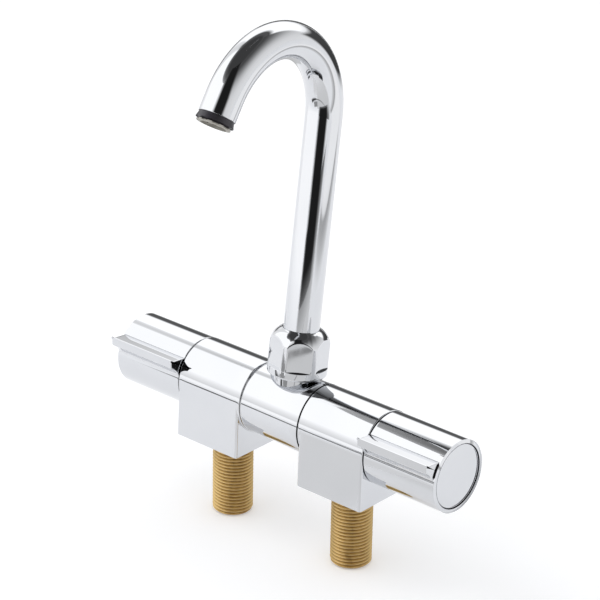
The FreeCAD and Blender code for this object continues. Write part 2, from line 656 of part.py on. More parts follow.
def toothed_bar(diameter, start, end):
    """Fine-toothed round bar."""
    points = []
    for step in range(2 * SPLINE_TEETH):
        radius = diameter / 2 - (step % 2) * SPLINE_TOOTH
        points.append(V(start, *on_axis(180 * step / SPLINE_TEETH, radius)))
    return polygon(points).extrude(V(end - start, 0, 0))


def stem_o_rings():
    """Two rubber rings round the stem."""
    outer = STEM_D + 2 * (RUNNING_FIT - SEAL_FIT)
    return Part.makeCompound([rubber_ring(outer, STEM_RING_CORD, at) for at in STEM_RINGS_AT])


def circlip():
    """Open spring ring that keeps the spindle in its cartridge."""
    end = CIRCLIP_IN + CIRCLIP_THICKNESS
    return tube(CIRCLIP_D, SPLINE_D + 0.1, CIRCLIP_IN, end).cut(
        wedge(CIRCLIP_D + 1, CIRCLIP_IN - 1, end + 1, 90, 22))


# Handle

def fin():
    """Lever fin: one section along the handle, flat above and hollow below."""
    top_root = on_axis(FIN_TOP_ANGLE, HANDLE_D / 2)
    top_tip = on_axis(FIN_TIP_TOP[1], FIN_TIP_TOP[0])
    under_tip = on_axis(FIN_TIP_UNDER[1], FIN_TIP_UNDER[0])
    under_root = on_axis(FIN_UNDER_ANGLE, HANDLE_D / 2)
    middle_angle = (FIN_TOP_ANGLE + FIN_UNDER_ANGLE) / 2
    inside = on_axis(middle_angle, HANDLE_D / 2 - 2)
    chord = V(0, under_root[0] - under_tip[0], under_root[1] - under_tip[1])
    hollow = V(0, -chord.z, chord.y).normalize() * FIN_UNDER_HOLLOW
    if hollow.z < 0:
        hollow = hollow * -1
    corners = [V(HANDLE_IN, *point) for point in (top_root, top_tip, under_tip, under_root,
                                                  inside)]
    under = Part.Arc(corners[2], (corners[2] + corners[3]) * 0.5 + hollow, corners[3])
    edges = [
        Part.LineSegment(corners[0], corners[1]).toShape(),
        Part.LineSegment(corners[1], corners[2]).toShape(),
        under.toShape(),
        Part.LineSegment(corners[3], corners[4]).toShape(),
        Part.LineSegment(corners[4], corners[0]).toShape(),
    ]
    length = HANDLE_LENGTH - FIN_END_SETBACK
    blade = Part.Face(Part.Wire(edges)).extrude(V(length, 0, 0))
    tips = [e for e in blade.Edges if e.BoundBox.XLength > length / 2
            and e.BoundBox.YMin < under_root[0] - 2]
    return blade.makeFillet(FIN_TIP_R, tips)


def handle():
    """Hollow drum with its fin, a hub for the adapter and a web for the screw."""
    body = drum(HANDLE_D, HANDLE_IN, HANDLE_OUT)
    rims = {True: HANDLE_RIM_R, False: DRUM_EDGE_R}
    for outer_end, radius in rims.items():
        edges = [e for e in body.Edges if is_circle(e) and abs(e.Curve.Radius - HANDLE_D / 2) < 0.01
                 and (e.Curve.Center.x > HANDLE_IN + 1) == outer_end]
        body = body.makeFillet(radius, edges)
    body = body.fuse(fin())
    body = body.cut([
        drum(HANDLE_CAVITY_D, HANDLE_IN - 1, WEB_IN).cut(drum(HUB_D, HUB_IN, WEB_IN)),
        hex_drum(HUB_HEX + 0.1, HUB_IN - 1, WEB_IN),
        drum(SCREW_SHANK_D + 0.4, WEB_IN - 1, WEB_OUT + 1),
        drum(OUTER_CAVITY_D, WEB_OUT, HANDLE_OUT + 1),
        drum(CAP_D + 2 * CAP_GAP, CAP_IN, HANDLE_OUT + 1),
    ])
    return body.removeSplitter()


def handle_insert():
    """Plastic adapter between the toothed stem and the handle's hub."""
    body = hex_drum(HUB_HEX, HUB_IN, WEB_IN)
    return body.cut([
        toothed_bar(SPLINE_D + 0.1, HUB_IN - 1, SPLINE_OUT + 0.2),
        drum(SCREW_SHANK_D + 0.4, SPLINE_OUT, WEB_IN + 1),
    ])


def handle_screw():
    """Cap screw through the web into the stem."""
    tip = SPLINE_OUT - SCREW_LENGTH + 1.5
    screw = drum(SCREW_SHANK_D, tip, WEB_OUT + 0.5)
    head = drum(SCREW_HEAD_D, WEB_OUT, WEB_OUT + SCREW_HEAD_H)
    head_out = WEB_OUT + SCREW_HEAD_H
    socket = hex_drum(SCREW_KEY, head_out - SCREW_KEY_DEPTH, head_out + 1)
    return screw.fuse(head).cut(socket).removeSplitter()


def end_cap():
    """Flat disc closing the handle, with a short skirt that grips its bore."""
    cap = drum(CAP_D, CAP_IN, CAP_IN + CAP_THICKNESS)
    rim = [e for e in cap.Edges if is_circle(e) and e.Curve.Center.x > CAP_IN + 1]
    cap = cap.makeFillet(0.25, rim)
    outer = OUTER_CAVITY_D - 2 * THREAD_FIT
    skirt = tube(outer, outer - 2 * CAP_SKIRT_WALL, CAP_IN - CAP_SKIRT_LENGTH, CAP_IN + 0.5)
    return cap.fuse(skirt).removeSplitter()


def paired(shapes):
    """One compound holding a piece of each side."""
    return Part.makeCompound(list(shapes.values()))


def all_parts():
    """Every sub-part by its node name."""
    parts = {
        "retaining_screws": paired(both_sides(retaining_screw())),
        "seat_seals": paired(both_sides(seat_seal())),
        "cartridge_o_rings": paired(both_sides(cartridge_o_ring())),
        "centre_body": centre_body(),
        "journal_o_rings": journal_o_rings(),
        "swivel_nut": swivel_nut(),
        "slip_ring": slip_ring(),
        "spout_tube": spout_tube(),
        "spout_o_rings": spout_o_rings(),
        "aerator_ring": aerator_ring(),
        "aerator_insert": aerator_insert(),
        "aerator_washer": aerator_washer(),
    }
    handed = {
        "block": block(),
        "shank": shank(),
        "cartridge_body": cartridge_body(),
        "fixed_disc": fixed_disc(),
        "moving_disc": moving_disc(),
        "spindle": spindle(),
        "stem_o_rings": stem_o_rings(),
        "circlip": circlip(),
        "handle": handle(),
        "handle_insert": handle_insert(),
        "handle_screw": handle_screw(),
        "end_cap": end_cap(),
    }
    for name, right in handed.items():
        for side, shape in both_sides(right).items():
            parts[f"{side}_{name}"] = shape
    return parts


os.makedirs("parts", exist_ok=True)
for node, solid in all_parts().items():
    solid.exportStep(f"parts/{node}.step")
    print(node, "valid", solid.isValid(), "solids", len(solid.Solids),
          "volume", round(solid.Volume, 1))
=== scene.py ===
"""Looks of a folding two-handle mixer tap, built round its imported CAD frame.

Shapes are worked out in millimetres on numpy grids and become metres when they are put
into a mesh. X runs along the handle bar, -Y faces the user, +Z is up, and the origin lies
on the worktop midway between the two threaded shanks, as in the CAD. Angles round the bar
rise from -Y towards +Z.
"""

import json
import logging
import math
from collections.abc import Sequence
from dataclasses import dataclass
from enum import Enum
from typing import Protocol

import bpy
import bmesh
import numpy as np
from mathutils import Matrix, Vector

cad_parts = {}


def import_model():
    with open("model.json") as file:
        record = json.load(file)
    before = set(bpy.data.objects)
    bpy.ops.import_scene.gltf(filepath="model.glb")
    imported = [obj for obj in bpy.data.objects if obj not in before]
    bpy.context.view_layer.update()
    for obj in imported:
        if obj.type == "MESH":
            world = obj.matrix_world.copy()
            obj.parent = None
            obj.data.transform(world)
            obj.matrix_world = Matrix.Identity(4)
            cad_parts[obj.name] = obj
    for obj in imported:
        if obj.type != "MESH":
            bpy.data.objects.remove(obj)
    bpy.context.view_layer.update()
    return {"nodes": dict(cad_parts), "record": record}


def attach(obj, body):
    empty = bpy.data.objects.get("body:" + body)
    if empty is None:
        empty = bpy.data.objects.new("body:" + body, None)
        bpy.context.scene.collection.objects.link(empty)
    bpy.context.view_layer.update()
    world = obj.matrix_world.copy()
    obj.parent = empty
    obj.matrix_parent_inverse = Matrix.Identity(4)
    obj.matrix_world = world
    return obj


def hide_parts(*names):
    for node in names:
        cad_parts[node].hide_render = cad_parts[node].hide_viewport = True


LOG = logging.getLogger("mixer_tap")
METRE = 0.001
MERGE_WITHIN = 2e-6
SIXTH_TURN = math.pi / 3

Grid = np.ndarray
Colour = tuple[float, float, float]
Source = tuple[bpy.types.Node, str | int]


# Sizes that the sub-assemblies share

@dataclass(frozen=True)
class Bar:
    """Sizes of the handle bar, in millimetres."""

    axis_height: float = 28.0
    body_r: float = 18.75
    centre_end: float = 19.0
    block_in: float = 19.3
    block_out: float = 60.6
    shank_x: float = 40.0
    journal_r: float = 11.0
    journal_end: float = 32.0
    edge_r: float = 0.4
    handle_in: float = 61.2
    handle_out: float = 104.35
    thread_r: float = 10.4775
    stop_screw_x: float = 26.0


BAR = Bar()


class Body(Enum):
    """CAD bodies that a piece can ride on."""

    BLOCKS = "blocks"
    CENTRE = "centre"
    SPOUT = "spout"
    LEFT_HANDLE = "left_handle"
    RIGHT_HANDLE = "right_handle"


class Side(Enum):
    """The two ends of the bar."""

    LEFT = "left"
    RIGHT = "right"

    @property
    def sign(self) -> float:
        """Direction along X."""
        return -1.0 if self is Side.LEFT else 1.0

    @property
    def handle(self) -> Body:
        """The body of this end's handle."""
        return Body(f"{self.value}_handle")


class Slot(Enum):
    """Material slots of the record."""

    CHROME = "chrome"
    BRASS = "brass"
    BLACK_PLASTIC = "black_plastic"
    NYLON = "nylon"
    RUBBER = "rubber"
    STEEL = "steel"
    CERAMIC = "ceramic"


# Curves and grids

def rounded(corners: Sequence[tuple[float, float, float]], steps: int = 6) -> Grid:
    """Closed outline through corners, each rounded by an arc that touches both its sides.

    An arc of radius r in a corner of angle a starts r / tan(a / 2) from the corner, and its
    centre lies r / sin(a / 2) along the bisector. Points turn evenly about that centre.

    Args:
        corners: Each corner's two coordinates and its radius, 0 for a sharp one.
        steps: Divisions of one arc.

    Returns:
        Points in rows of two.
    """
    places = np.array([corner[:2] for corner in corners], float)
    pieces = []
    for index, (_, _, radius) in enumerate(corners):
        corner = places[index]
        if radius <= 0:
            pieces.append(corner[None])
            continue
        back = places[index - 1] - corner
        ahead = places[(index + 1) % len(corners)] - corner
        back /= np.linalg.norm(back)
        ahead /= np.linalg.norm(ahead)
        half = math.acos(float(np.clip(back @ ahead, -1, 1))) / 2
        bisector = (back + ahead) / np.linalg.norm(back + ahead)
        centre = corner + bisector * radius / math.sin(half)
        sweep = math.pi - 2 * half
        start = corner + back * radius / math.tan(half) - centre
        across = np.array([-start[1], start[0]])
        if across @ ahead < 0:
            across = -across
        turn = np.linspace(0, sweep, steps + 1)[:, None]
        pieces.append(centre + start * np.cos(turn) + across * np.sin(turn))
    return np.concatenate(pieces)


def edge_inset(distance: Grid, radius: float) -> Grid:
    """How far a rounded edge stands back at a distance from its end: r - sqrt(r2 - (r - s)2).

    Args:
        distance: Distances s from the end face.
        radius: Edge radius r.

    Returns:
        The inset, r at the end face and 0 from r onwards.
    """
    short = np.clip(radius - distance, 0, radius)
    return radius - np.sqrt(np.maximum(radius**2 - short**2, 0))


def edge_rows(radius: float, steps: int = 5) -> Grid:
    """Distances from an end face that share out a rounded edge's turn evenly."""
    return radius * (1 - np.cos(np.linspace(0, math.pi / 2, steps + 1)))


def round_bar(x: Grid, radius: Grid, angle: Grid) -> Grid:
    """Points round the fold axis: y = -r cos a and z = height + r sin a.

    Args:
        x: Places along the bar.
        radius: Distances from the fold axis.
        angle: Angles from -Y towards +Z, in radians.

    Returns:
        Points of the broadcast shape, with a last axis of three.
    """
    x, radius, angle = np.broadcast_arrays(x, radius, angle)
    return np.stack([x, -radius * np.cos(angle), BAR.axis_height + radius * np.sin(angle)], -1)


def full_turn(columns: int) -> Grid:
    """One row of angles that share a whole turn evenly."""
    return np.linspace(0, 2 * math.pi, columns, endpoint=False)[None]


def turned_bar(profile: Grid, columns: int = 144) -> Grid:
    """Closed profile of x and radius, turned round the fold axis."""
    return round_bar(profile[:, :1], profile[:, 1:], full_turn(columns))


def round_upright(radius: Grid, height: Grid, angle: Grid, at_x: float) -> Grid:
    """Points round a vertical line through the bar: x = at_x + r cos a and y = r sin a.

    Args:
        radius: Distances r from the line.
        height: Heights over the worktop.
        angle: Angles a from +X towards +Y, in radians.
        at_x: Place of the line along the bar.

    Returns:
        Points of the broadcast shape, with a last axis of three.
    """
    radius, height, angle = np.broadcast_arrays(radius, height, angle)
    return np.stack([at_x + radius * np.cos(angle), radius * np.sin(angle), height], -1)


def turned_upright(profile: Grid, at_x: float, columns: int = 64) -> Grid:
    """Closed profile of radius and height, turned round a vertical line through the bar."""
    return round_upright(profile[:, :1], profile[:, 1:], full_turn(columns), at_x)


def stepped_hole(*steps: tuple[float, float], below: float = 1.0) -> Grid:
    """Closed profile of a hole bored upwards, in which each step narrows to the next.

    Args:
        *steps: Radius and top of each step, from the lowest.
        below: How far the cut starts under the worktop.

    Returns:
        Rows of radius and height.
    """
    corners, floor = [(0.0, -below)], -below
    for radius, top in steps:
        corners += [(radius, floor), (radius, top)]
        floor = top
    return np.array([*corners, (0.0, floor)])


def groove(at: float, width: float, outer: float, floor: float) -> list[tuple[float, float]]:
    """Corners of a square groove in a round part, down one wall and up the other.

    Args:
        at: Place of its middle along the part.
        width: Distance between its walls.
        outer: Radius outside it.
        floor: Radius of its floor.

    Returns:
        Places along the part and radii.
    """
    near, far = at - width / 2, at + width / 2
    return [(near, outer), (near, floor), (far, floor), (far, outer)]


@dataclass(frozen=True)
class SpoutLine:
    """Centre line of the spout: straight, then a bend towards the user, then a short tail."""

    bend_start: float = 150.4
    bend_r: float = 42.5
    bend_angle: float = 152.0
    tail: float = 8.5
    lean: float = 7.0
    turn: float = 4.4

    @property
    def bend_end(self) -> float:
        """Distance along the line at which the bend ends."""
        return self.bend_start + self.bend_r * math.radians(self.bend_angle)

    @property
    def length(self) -> float:
        """Distance along the line from the fold axis to the tube's end."""
        return self.bend_end + self.tail

    def ring(self, along: Grid, radius: Grid, angle: Grid) -> Grid:
        """Points round the line: centre(s) + r (cos a * outwards(s) + sin a * X).

        The bend's centre stands one bend radius before the upright part, and the outward
        direction turns with the line, so a ring always lies square to it.

        Args:
            along: Distances s from the fold axis.
            radius: Distances r from the line.
            angle: Angles a round the line, in radians.

        Returns:
            Points in the row's frame, leaned and turned.
        """
        along, radius, angle = np.broadcast_arrays(along, radius, angle)
        bent = np.clip(along, self.bend_start, self.bend_end) - self.bend_start
        phi = bent / self.bend_r
        rest = along - self.bend_start - bent
        out_y, out_z = np.cos(phi), np.sin(phi)
        centre_y = self.bend_r * (out_y - 1) - rest * out_z
        centre_z = self.bend_start + self.bend_r * out_z + rest * out_y
        points = [radius * np.sin(angle), centre_y + radius * np.cos(angle) * out_y,
                  centre_z + radius * np.cos(angle) * out_z]
        return self.leaned(np.stack(points, -1), self.turn)

    def leaned(self, points: Grid, turn: float) -> Grid:
        """Turn upright points about the spout's own axis, then lean them back about the bar.

        Args:
            points: Points whose origin is on the fold axis.
            turn: Turn about the spout's axis, in degrees.

        Returns:
            Points in the row's frame.
        """
        spin, tip = math.radians(turn), math.radians(self.lean)
        x, y, z = points[..., 0], points[..., 1], points[..., 2]
        x, y = (x * math.cos(spin) - y * math.sin(spin),
                x * math.sin(spin) + y * math.cos(spin))
        y, z = (y * math.cos(tip) + z * math.sin(tip),
                z * math.cos(tip) - y * math.sin(tip))
        return np.stack([x, y, z + BAR.axis_height], -1)


LINE = SpoutLine()


@dataclass
class Shell:
    """A closed skin: rings of points, each ring closed, and the last ring joined to the first."""

    rings: Grid

    def quads(self) -> Grid:
        """Corner numbers: each point is joined to the next along its ring and to the next ring.

        Returns:
            Faces in rows of four, pointing outwards.
        """
        rows, columns = self.rings.shape[:2]
        row, column = np.meshgrid(np.arange(rows), np.arange(columns), indexing="ij")
        down, right = (row + 1) % rows, (column + 1) % columns
        corners = [row * columns + column, row * columns + right,
                   down * columns + right, down * columns + column]
        faces = np.stack(corners, -1).reshape(-1, 4)
        return faces if self.holds(faces) > 0 else faces[:, ::-1]

    def holds(self, faces: Grid) -> float:
        """Signed volume inside the faces: a sixth of the sum of a . (b x c) over triangles.

        Args:
            faces: Corner numbers in rows of four.

        Returns:
            The volume, under zero where the faces point inwards.
        """
        p = self.rings.reshape(-1, 3)[faces]
        first = np.einsum("ij,ij->i", p[:, 0], np.cross(p[:, 1], p[:, 2]))
        second = np.einsum("ij,ij->i", p[:, 0], np.cross(p[:, 2], p[:, 3]))
        return float((first.sum() + second.sum()) / 6)


@dataclass
class Piece:
    """One visible piece: its closed shells, what is carved from them, and what it stands for.

    Faces that meet at more than the crease angle, in degrees, keep a sharp edge.
    """

    name: str
    body: Body
    slot: Slot
    replaces: Sequence[str]
    shells: Sequence[Shell]
    joined: Sequence[Shell] = ()
    carved: Sequence[Shell] = ()
    crease: float = 24.0

    def mesh(self, name: str, shells: Sequence[Shell]) -> bpy.types.Mesh:
        """Put shells into one mesh in metres, with doubled points merged.

        Args:
            name: Name of the mesh.
            shells: Closed skins in millimetres.

        Returns:
            The mesh.
        """
        counts = np.cumsum([0] + [shell.rings.size // 3 for shell in shells])
        points = np.concatenate([shell.rings.reshape(-1, 3) for shell in shells]) * METRE
        faces = np.concatenate([shell.quads() + start for shell, start in zip(shells, counts)])
        mesh = bpy.data.meshes.new(name)
        mesh.vertices.add(len(points))
        mesh.vertices.foreach_set("co", points.astype(np.float32).ravel())
        mesh.loops.add(faces.size)
        mesh.loops.foreach_set("vertex_index", faces.astype(np.int32).ravel())
        mesh.polygons.add(len(faces))
        mesh.polygons.foreach_set("loop_start", np.arange(0, faces.size, 4, dtype=np.int32))
        mesh.update(calc_edges=True)
        work = bmesh.new()
        work.from_mesh(mesh)
        bmesh.ops.remove_doubles(work, verts=work.verts, dist=MERGE_WITHIN)
        work.to_mesh(mesh)
        work.free()
        return mesh

    def build(self, material: bpy.types.Material) -> bpy.types.Object:
        """Make the object, carve it, shade it and hang it on its body.

        Args:
            material: Finish of the whole piece.

        Returns:
            The finished object.
        """
        piece = new_object(self.name, self.mesh(self.name, self.shells))
        for shell, operation in ([(shell, "UNION") for shell in self.joined]
                                 + [(shell, "DIFFERENCE") for shell in self.carved]):
            self.combine(piece, shell, operation)
        piece.data.materials.clear()
        piece.data.materials.append(material)
        piece.data.shade_smooth()
        piece.data.set_sharp_from_angle(angle=math.radians(self.crease))
        even = piece.modifiers.new("Even shading", "WEIGHTED_NORMAL")
        even.mode = "FACE_AREA"
        even.keep_sharp = True
        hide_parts(*self.replaces)
        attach(piece, self.body.value)
        LOG.info("%s: %d faces on %s", self.name, len(piece.data.polygons), self.body.value)
        return piece

    def combine(self, piece: bpy.types.Object, shell: Shell, operation: str) -> None:
        """Join a shell to the piece, or carve the piece with it, and keep the resulting mesh.

        Args:
            piece: The piece's object.
            shell: The closed skin to join or to carve with.
            operation: UNION or DIFFERENCE.
        """
        tool = new_object("tool", self.mesh("tool", [shell]))
        change = piece.modifiers.new("Join or carve", "BOOLEAN")
        change.solver = "EXACT"
        change.operation = operation
        change.object = tool
        bpy.context.view_layer.update()
        seen = piece.evaluated_get(bpy.context.evaluated_depsgraph_get())
        result = bpy.data.meshes.new_from_object(seen)
        piece.modifiers.clear()
        before, piece.data = piece.data, result
        spare = tool.data
        bpy.data.objects.remove(tool)
        bpy.data.meshes.remove(spare)
        bpy.data.meshes.remove(before)


class SubAssembly(Protocol):
    """Any part of the tap that can give its visible piece."""

    def piece(self) -> Piece:
        """The piece as it is to be built."""


def new_object(name: str, data: bpy.types.ID | None) -> bpy.types.Object:
    """Link a new object to the scene.

    Args:
        name: Name of the object.
        data: Its mesh, lamp or camera.

    Returns:
        The object.
    """
    made = bpy.data.objects.new(name, data)
    bpy.context.scene.collection.objects.link(made)
    return made


# Finishes

class Sheet:
    """A material's node sheet, with short ways to add and join nodes."""

    def __init__(self, name: str) -> None:
        """Start an empty sheet with one principled shader.

        Args:
            name: Name of the material.
        """
        self.material = bpy.data.materials.new(name)
        self.material.use_nodes = True
        self.nodes = self.material.node_tree.nodes
        self.nodes.clear()
        self.shader = self.node("ShaderNodeBsdfPrincipled")
        self.output = self.node("ShaderNodeOutputMaterial")
        self.join(self.shader, "BSDF", self.output, "Surface")
        self.place = self.node("ShaderNodeTexCoord")

    def node(self, kind: str, **settings: object) -> bpy.types.Node:
        """Add a node and set its properties.

        Args:
            kind: Blender's name for the kind of node.
            **settings: Properties and their values.

        Returns:
            The node.
        """
        made = self.nodes.new(kind)
        for name, value in settings.items():
            setattr(made, name, value)
        return made

    def join(self, source: bpy.types.Node, output: str | int, target: bpy.types.Node,
             entry: str | int) -> None:
        """Join an output to an input."""
        self.material.node_tree.links.new(source.outputs[output], target.inputs[entry])

    def fix(self, **values: object) -> None:
        """Set the shader's own sockets; underscores in a name stand for spaces."""
        for name, value in values.items():
            self.shader.inputs[name.replace("_", " ").title()].default_value = value

    def axes(self) -> bpy.types.Node:
        """The node whose outputs X, Y and Z are the Object coordinates, in metres.

        Returns:
            The node.
        """
        parts = self.node("ShaderNodeSeparateXYZ")
        self.join(self.place, "Object", parts, "Vector")
        return parts

    def maths(self, operation: str, *entries: float | Source,
              **settings: object) -> bpy.types.Node:
        """Add a calculation on numbers or on the outputs of other nodes.

        Args:
            operation: Its kind, such as ADD.
            *entries: Numbers, or pairs of a node and its output.
            **settings: Further properties and their values.

        Returns:
            The calculation's node.
        """
        made = self.node("ShaderNodeMath", operation=operation, **settings)
        for place, entry in enumerate(entries):
            if isinstance(entry, tuple):
                self.join(*entry, made, place)
            else:
                made.inputs[place].default_value = entry
        return made

    def distance(self, **parts: Source) -> bpy.types.Node:
        """Length of the vector that has these outputs along X, Y or Z, and 0 along the rest.

        Args:
            **parts: A pair of a node and its output for each axis given.

        Returns:
            The node whose output Value is the length.
        """
        flat = self.node("ShaderNodeCombineXYZ")
        for axis, (source, output) in parts.items():
            self.join(source, output, flat, axis)
        reach = self.node("ShaderNodeVectorMath", operation="LENGTH")
        self.join(flat, "Vector", reach, 0)
        return reach

    def noise(self, scale: float, detail: float = 3.0, roughness: float = 0.5,
              stretch: tuple[float, float, float] = (1, 1, 1)) -> bpy.types.Node:
        """Noise in Object coordinates.

        Args:
            scale: Features per metre.
            detail: Octaves.
            roughness: Weight of the finer octaves.
            stretch: Scale along each axis, under 1 to draw features out.

        Returns:
            The noise node.
        """
        mapping = self.node("ShaderNodeMapping")
        mapping.inputs["Scale"].default_value = stretch
        self.join(self.place, "Object", mapping, "Vector")
        made = self.node("ShaderNodeTexNoise")
        made.inputs["Scale"].default_value = scale
        made.inputs["Detail"].default_value = detail
        made.inputs["Roughness"].default_value = roughness
        self.join(mapping, "Vector", made, "Vector")
        return made

    def spread(self, source: bpy.types.Node, output: str, low: float, high: float,
               from_low: float = 0.3, from_high: float = 0.7) -> bpy.types.Node:
        """Stretch a value between two numbers, clamped at both.

        Args:
            source: Node that gives the value.
            output: Its output.
            low: Result at from_low.
            high: Result at from_high.
            from_low: Value that becomes low.
            from_high: Value that becomes high.

        Returns:
            The node whose output Result is the stretched value.
        """
        made = self.node("ShaderNodeMapRange")
        for name, value in (("From Min", from_low), ("From Max", from_high),
                            ("To Min", low), ("To Max", high)):
            made.inputs[name].default_value = value
        self.join(source, output, made, "Value")
        return made

    def ramp(self, source: bpy.types.Node, output: str,
             stops: Sequence[tuple[float, Colour]]) -> bpy.types.Node:
        """Colour by a value, blended between stops.

        Args:
            source: Node that gives the value.
            output: Its output.
            stops: Values and their colours, from the lowest.

        Returns:
            The node whose output Color is the colour.
        """
        made = self.node("ShaderNodeValToRGB")
        marks = made.color_ramp.elements
        while len(marks) < len(stops):
            marks.new(1.0)
        for mark, (place, colour) in zip(marks, stops):
            mark.position = place
            mark.color = (*colour, 1.0)
        self.join(source, output, made, "Fac")
        return made

    def relief(self, source: bpy.types.Node, output: str, height: float,
               strength: float = 1.0) -> bpy.types.Node:
        """Small relief from a value.

        Args:
            source: Node that gives the value.
            output: Its output.
            height: Height of the relief in metres.
            strength: Share of the relief that shows.

        Returns:
            The relief's node.
        """
        made = self.node("ShaderNodeBump")
        made.inputs["Distance"].default_value = height
        made.inputs["Strength"].default_value = strength
        self.join(source, output, made, "Height")
        self.join(made, "Normal", self.shader, "Normal")
        return made


@dataclass(frozen=True)
class Chrome:
    """Bright chrome plating: pale metal, faint wipe marks, a soft ripple and painted gap shade.

    Scales are in features per metre, and the ripple and the painted gap shade's places in metres.
    """

    bright: Colour = (0.680, 0.690, 0.712)
    dull: Colour = (0.650, 0.662, 0.688)
    # Painted shade: dark chrome colour laid over the gap between each cap and its handle
    gap_shade: Colour = (0.12, 0.12, 0.14)
    haze_scale: float = 26.0
    wipe_scale: float = 190.0
    wipe_stretch: tuple[float, float, float] = (0.25, 1.0, 0.6)
    smooth: float = 0.025
    wiped: float = 0.075
    wave_scale: float = 75.0
    ripple: float = 1.2e-6
    gap_shade_r: float = 0.01625
    gap_shade_half: float = 0.00032
    gap_shade_x: float = 0.1019

    def material(self) -> bpy.types.Material:
        """Build the plating's node sheet.

        Returns:
            The material.
        """
        sheet = Sheet("chrome_plating")
        sheet.fix(metallic=1.0)
        haze = sheet.noise(self.haze_scale, detail=4.0)
        tone = sheet.ramp(haze, "Fac", [(0.35, self.bright), (0.75, self.dull)])
        # Painted shade: the ring over each cap's gap takes the dark colour
        mixed = sheet.node("ShaderNodeMix", data_type="RGBA")
        sheet.join(self.gap_shade_mask(sheet), 0, mixed, "Factor")
        sheet.join(tone, "Color", mixed, "A")
        mixed.inputs["B"].default_value = (*self.gap_shade, 1.0)
        sheet.join(mixed, "Result", sheet.shader, "Base Color")
        wipe = sheet.noise(self.wipe_scale, detail=5.0, roughness=0.6, stretch=self.wipe_stretch)
        rough = sheet.spread(wipe, "Fac", self.smooth, self.wiped, from_low=0.45, from_high=0.85)
        sheet.join(rough, "Result", sheet.shader, "Roughness")
        wave = sheet.noise(self.wave_scale, detail=1.0)
        sheet.relief(wave, "Fac", self.ripple)
        return sheet.material

    def gap_shade_mask(self, sheet: Sheet) -> bpy.types.Node:
        """1 in a narrow ring over the round gap between a cap and its handle, 0 elsewhere.

        The ring is where the distance to the fold axis is the ring's radius, give or take its half
        width, and |x| is past its start along the bar. It covers the gap, the cap's outermost edge
        and the start of the handle's rim, and marks where the gap's shade is painted on the
        plating.

        Args:
            sheet: The plating's node sheet.

        Returns:
            The node whose first output is the mask.
        """
        parts = sheet.axes()
        over = sheet.maths("SUBTRACT", (parts, "Z"), BAR.axis_height * METRE)
        reach = sheet.distance(Y=(parts, "Y"), Z=(over, 0))
        near = sheet.maths("COMPARE", (reach, "Value"), self.gap_shade_r, self.gap_shade_half)
        size = sheet.maths("ABSOLUTE", (parts, "X"))
        out = sheet.maths("GREATER_THAN", (size, 0), self.gap_shade_x)
        return sheet.maths("MULTIPLY", (near, 0), (out, 0))


@dataclass(frozen=True)
class Brass:
    """Machined brass: bright thread crests, brown roots and turning streaks.

    Scales are in features per metre, and radii and the grit's height in metres.
    """

    crest: Colour = (0.72, 0.53, 0.25)
    flank: Colour = (0.62, 0.44, 0.18)
    root: Colour = (0.34, 0.22, 0.09)
    root_r: float = 0.00945
    crest_r: float = 0.01046
    streak_scale: float = 420.0
    streak_stretch: tuple[float, float, float] = (1.0, 1.0, 0.25)
    mottle_low: float = -0.22
    mottle_high: float = 0.16
    smooth: float = 0.38
    worn: float = 0.55
    grit_scale: float = 1800.0
    grit_height: float = 8e-6

    def material(self) -> bpy.types.Material:
        """Build the brass, darker towards the nearest shank's axis.

        Returns:
            The material.
        """
        sheet = Sheet("machined_brass")
        sheet.fix(metallic=1.0)
        parts = sheet.axes()
        size = sheet.maths("ABSOLUTE", (parts, "X"))
        from_axis = sheet.maths("SUBTRACT", (size, 0), BAR.shank_x * METRE)
        reach = sheet.distance(X=(from_axis, 0), Y=(parts, "Y"))
        depth = sheet.spread(reach, "Value", 0.0, 1.0, self.root_r, self.crest_r)
        streak = sheet.noise(self.streak_scale, detail=4.0, roughness=0.6,
                             stretch=self.streak_stretch)
        mottle = sheet.spread(streak, "Fac", self.mottle_low, self.mottle_high)
        total = sheet.maths("ADD", (depth, "Result"), (mottle, "Result"), use_clamp=True)
        tone = sheet.ramp(total, "Value", [(0.0, self.root), (0.45, self.flank),
                                           (0.9, self.crest)])
        sheet.join(tone, "Color", sheet.shader, "Base Color")
        rough = sheet.spread(streak, "Fac", self.smooth, self.worn)
        sheet.join(rough, "Result", sheet.shader, "Roughness")
        grit = sheet.noise(self.grit_scale)
        sheet.relief(grit, "Fac", self.grit_height)
        return sheet.material


@dataclass(frozen=True)
class Moulded:
    """A moulded, rubber, sintered or turned finish told apart by colour, gloss and grain."""

    name: str
    light: Colour
    dark: Colour
    gloss_rough: float
    matt_rough: float
    grain: float = 1500.0
    grain_height: float = 3e-6
    metal: float = 0.0
    cloud: float = 180.0

    def material(self) -> bpy.types.Material:
        """Build the finish: two close tones in a cloud, uneven gloss and a fine grain.

        Returns:
            The material.
        """
        sheet = Sheet(self.name)
        sheet.fix(metallic=self.metal)
        cloud = sheet.noise(self.cloud, detail=4.0)
        tone = sheet.ramp(cloud, "Fac", [(0.3, self.light), (0.7, self.dark)])
        sheet.join(tone, "Color", sheet.shader, "Base Color")
        rough = sheet.spread(cloud, "Fac", self.gloss_rough, self.matt_rough)
        sheet.join(rough, "Result", sheet.shader, "Roughness")
        grain = sheet.noise(self.grain, detail=2.0)
        sheet.relief(grain, "Fac", self.grain_height)
        return sheet.material


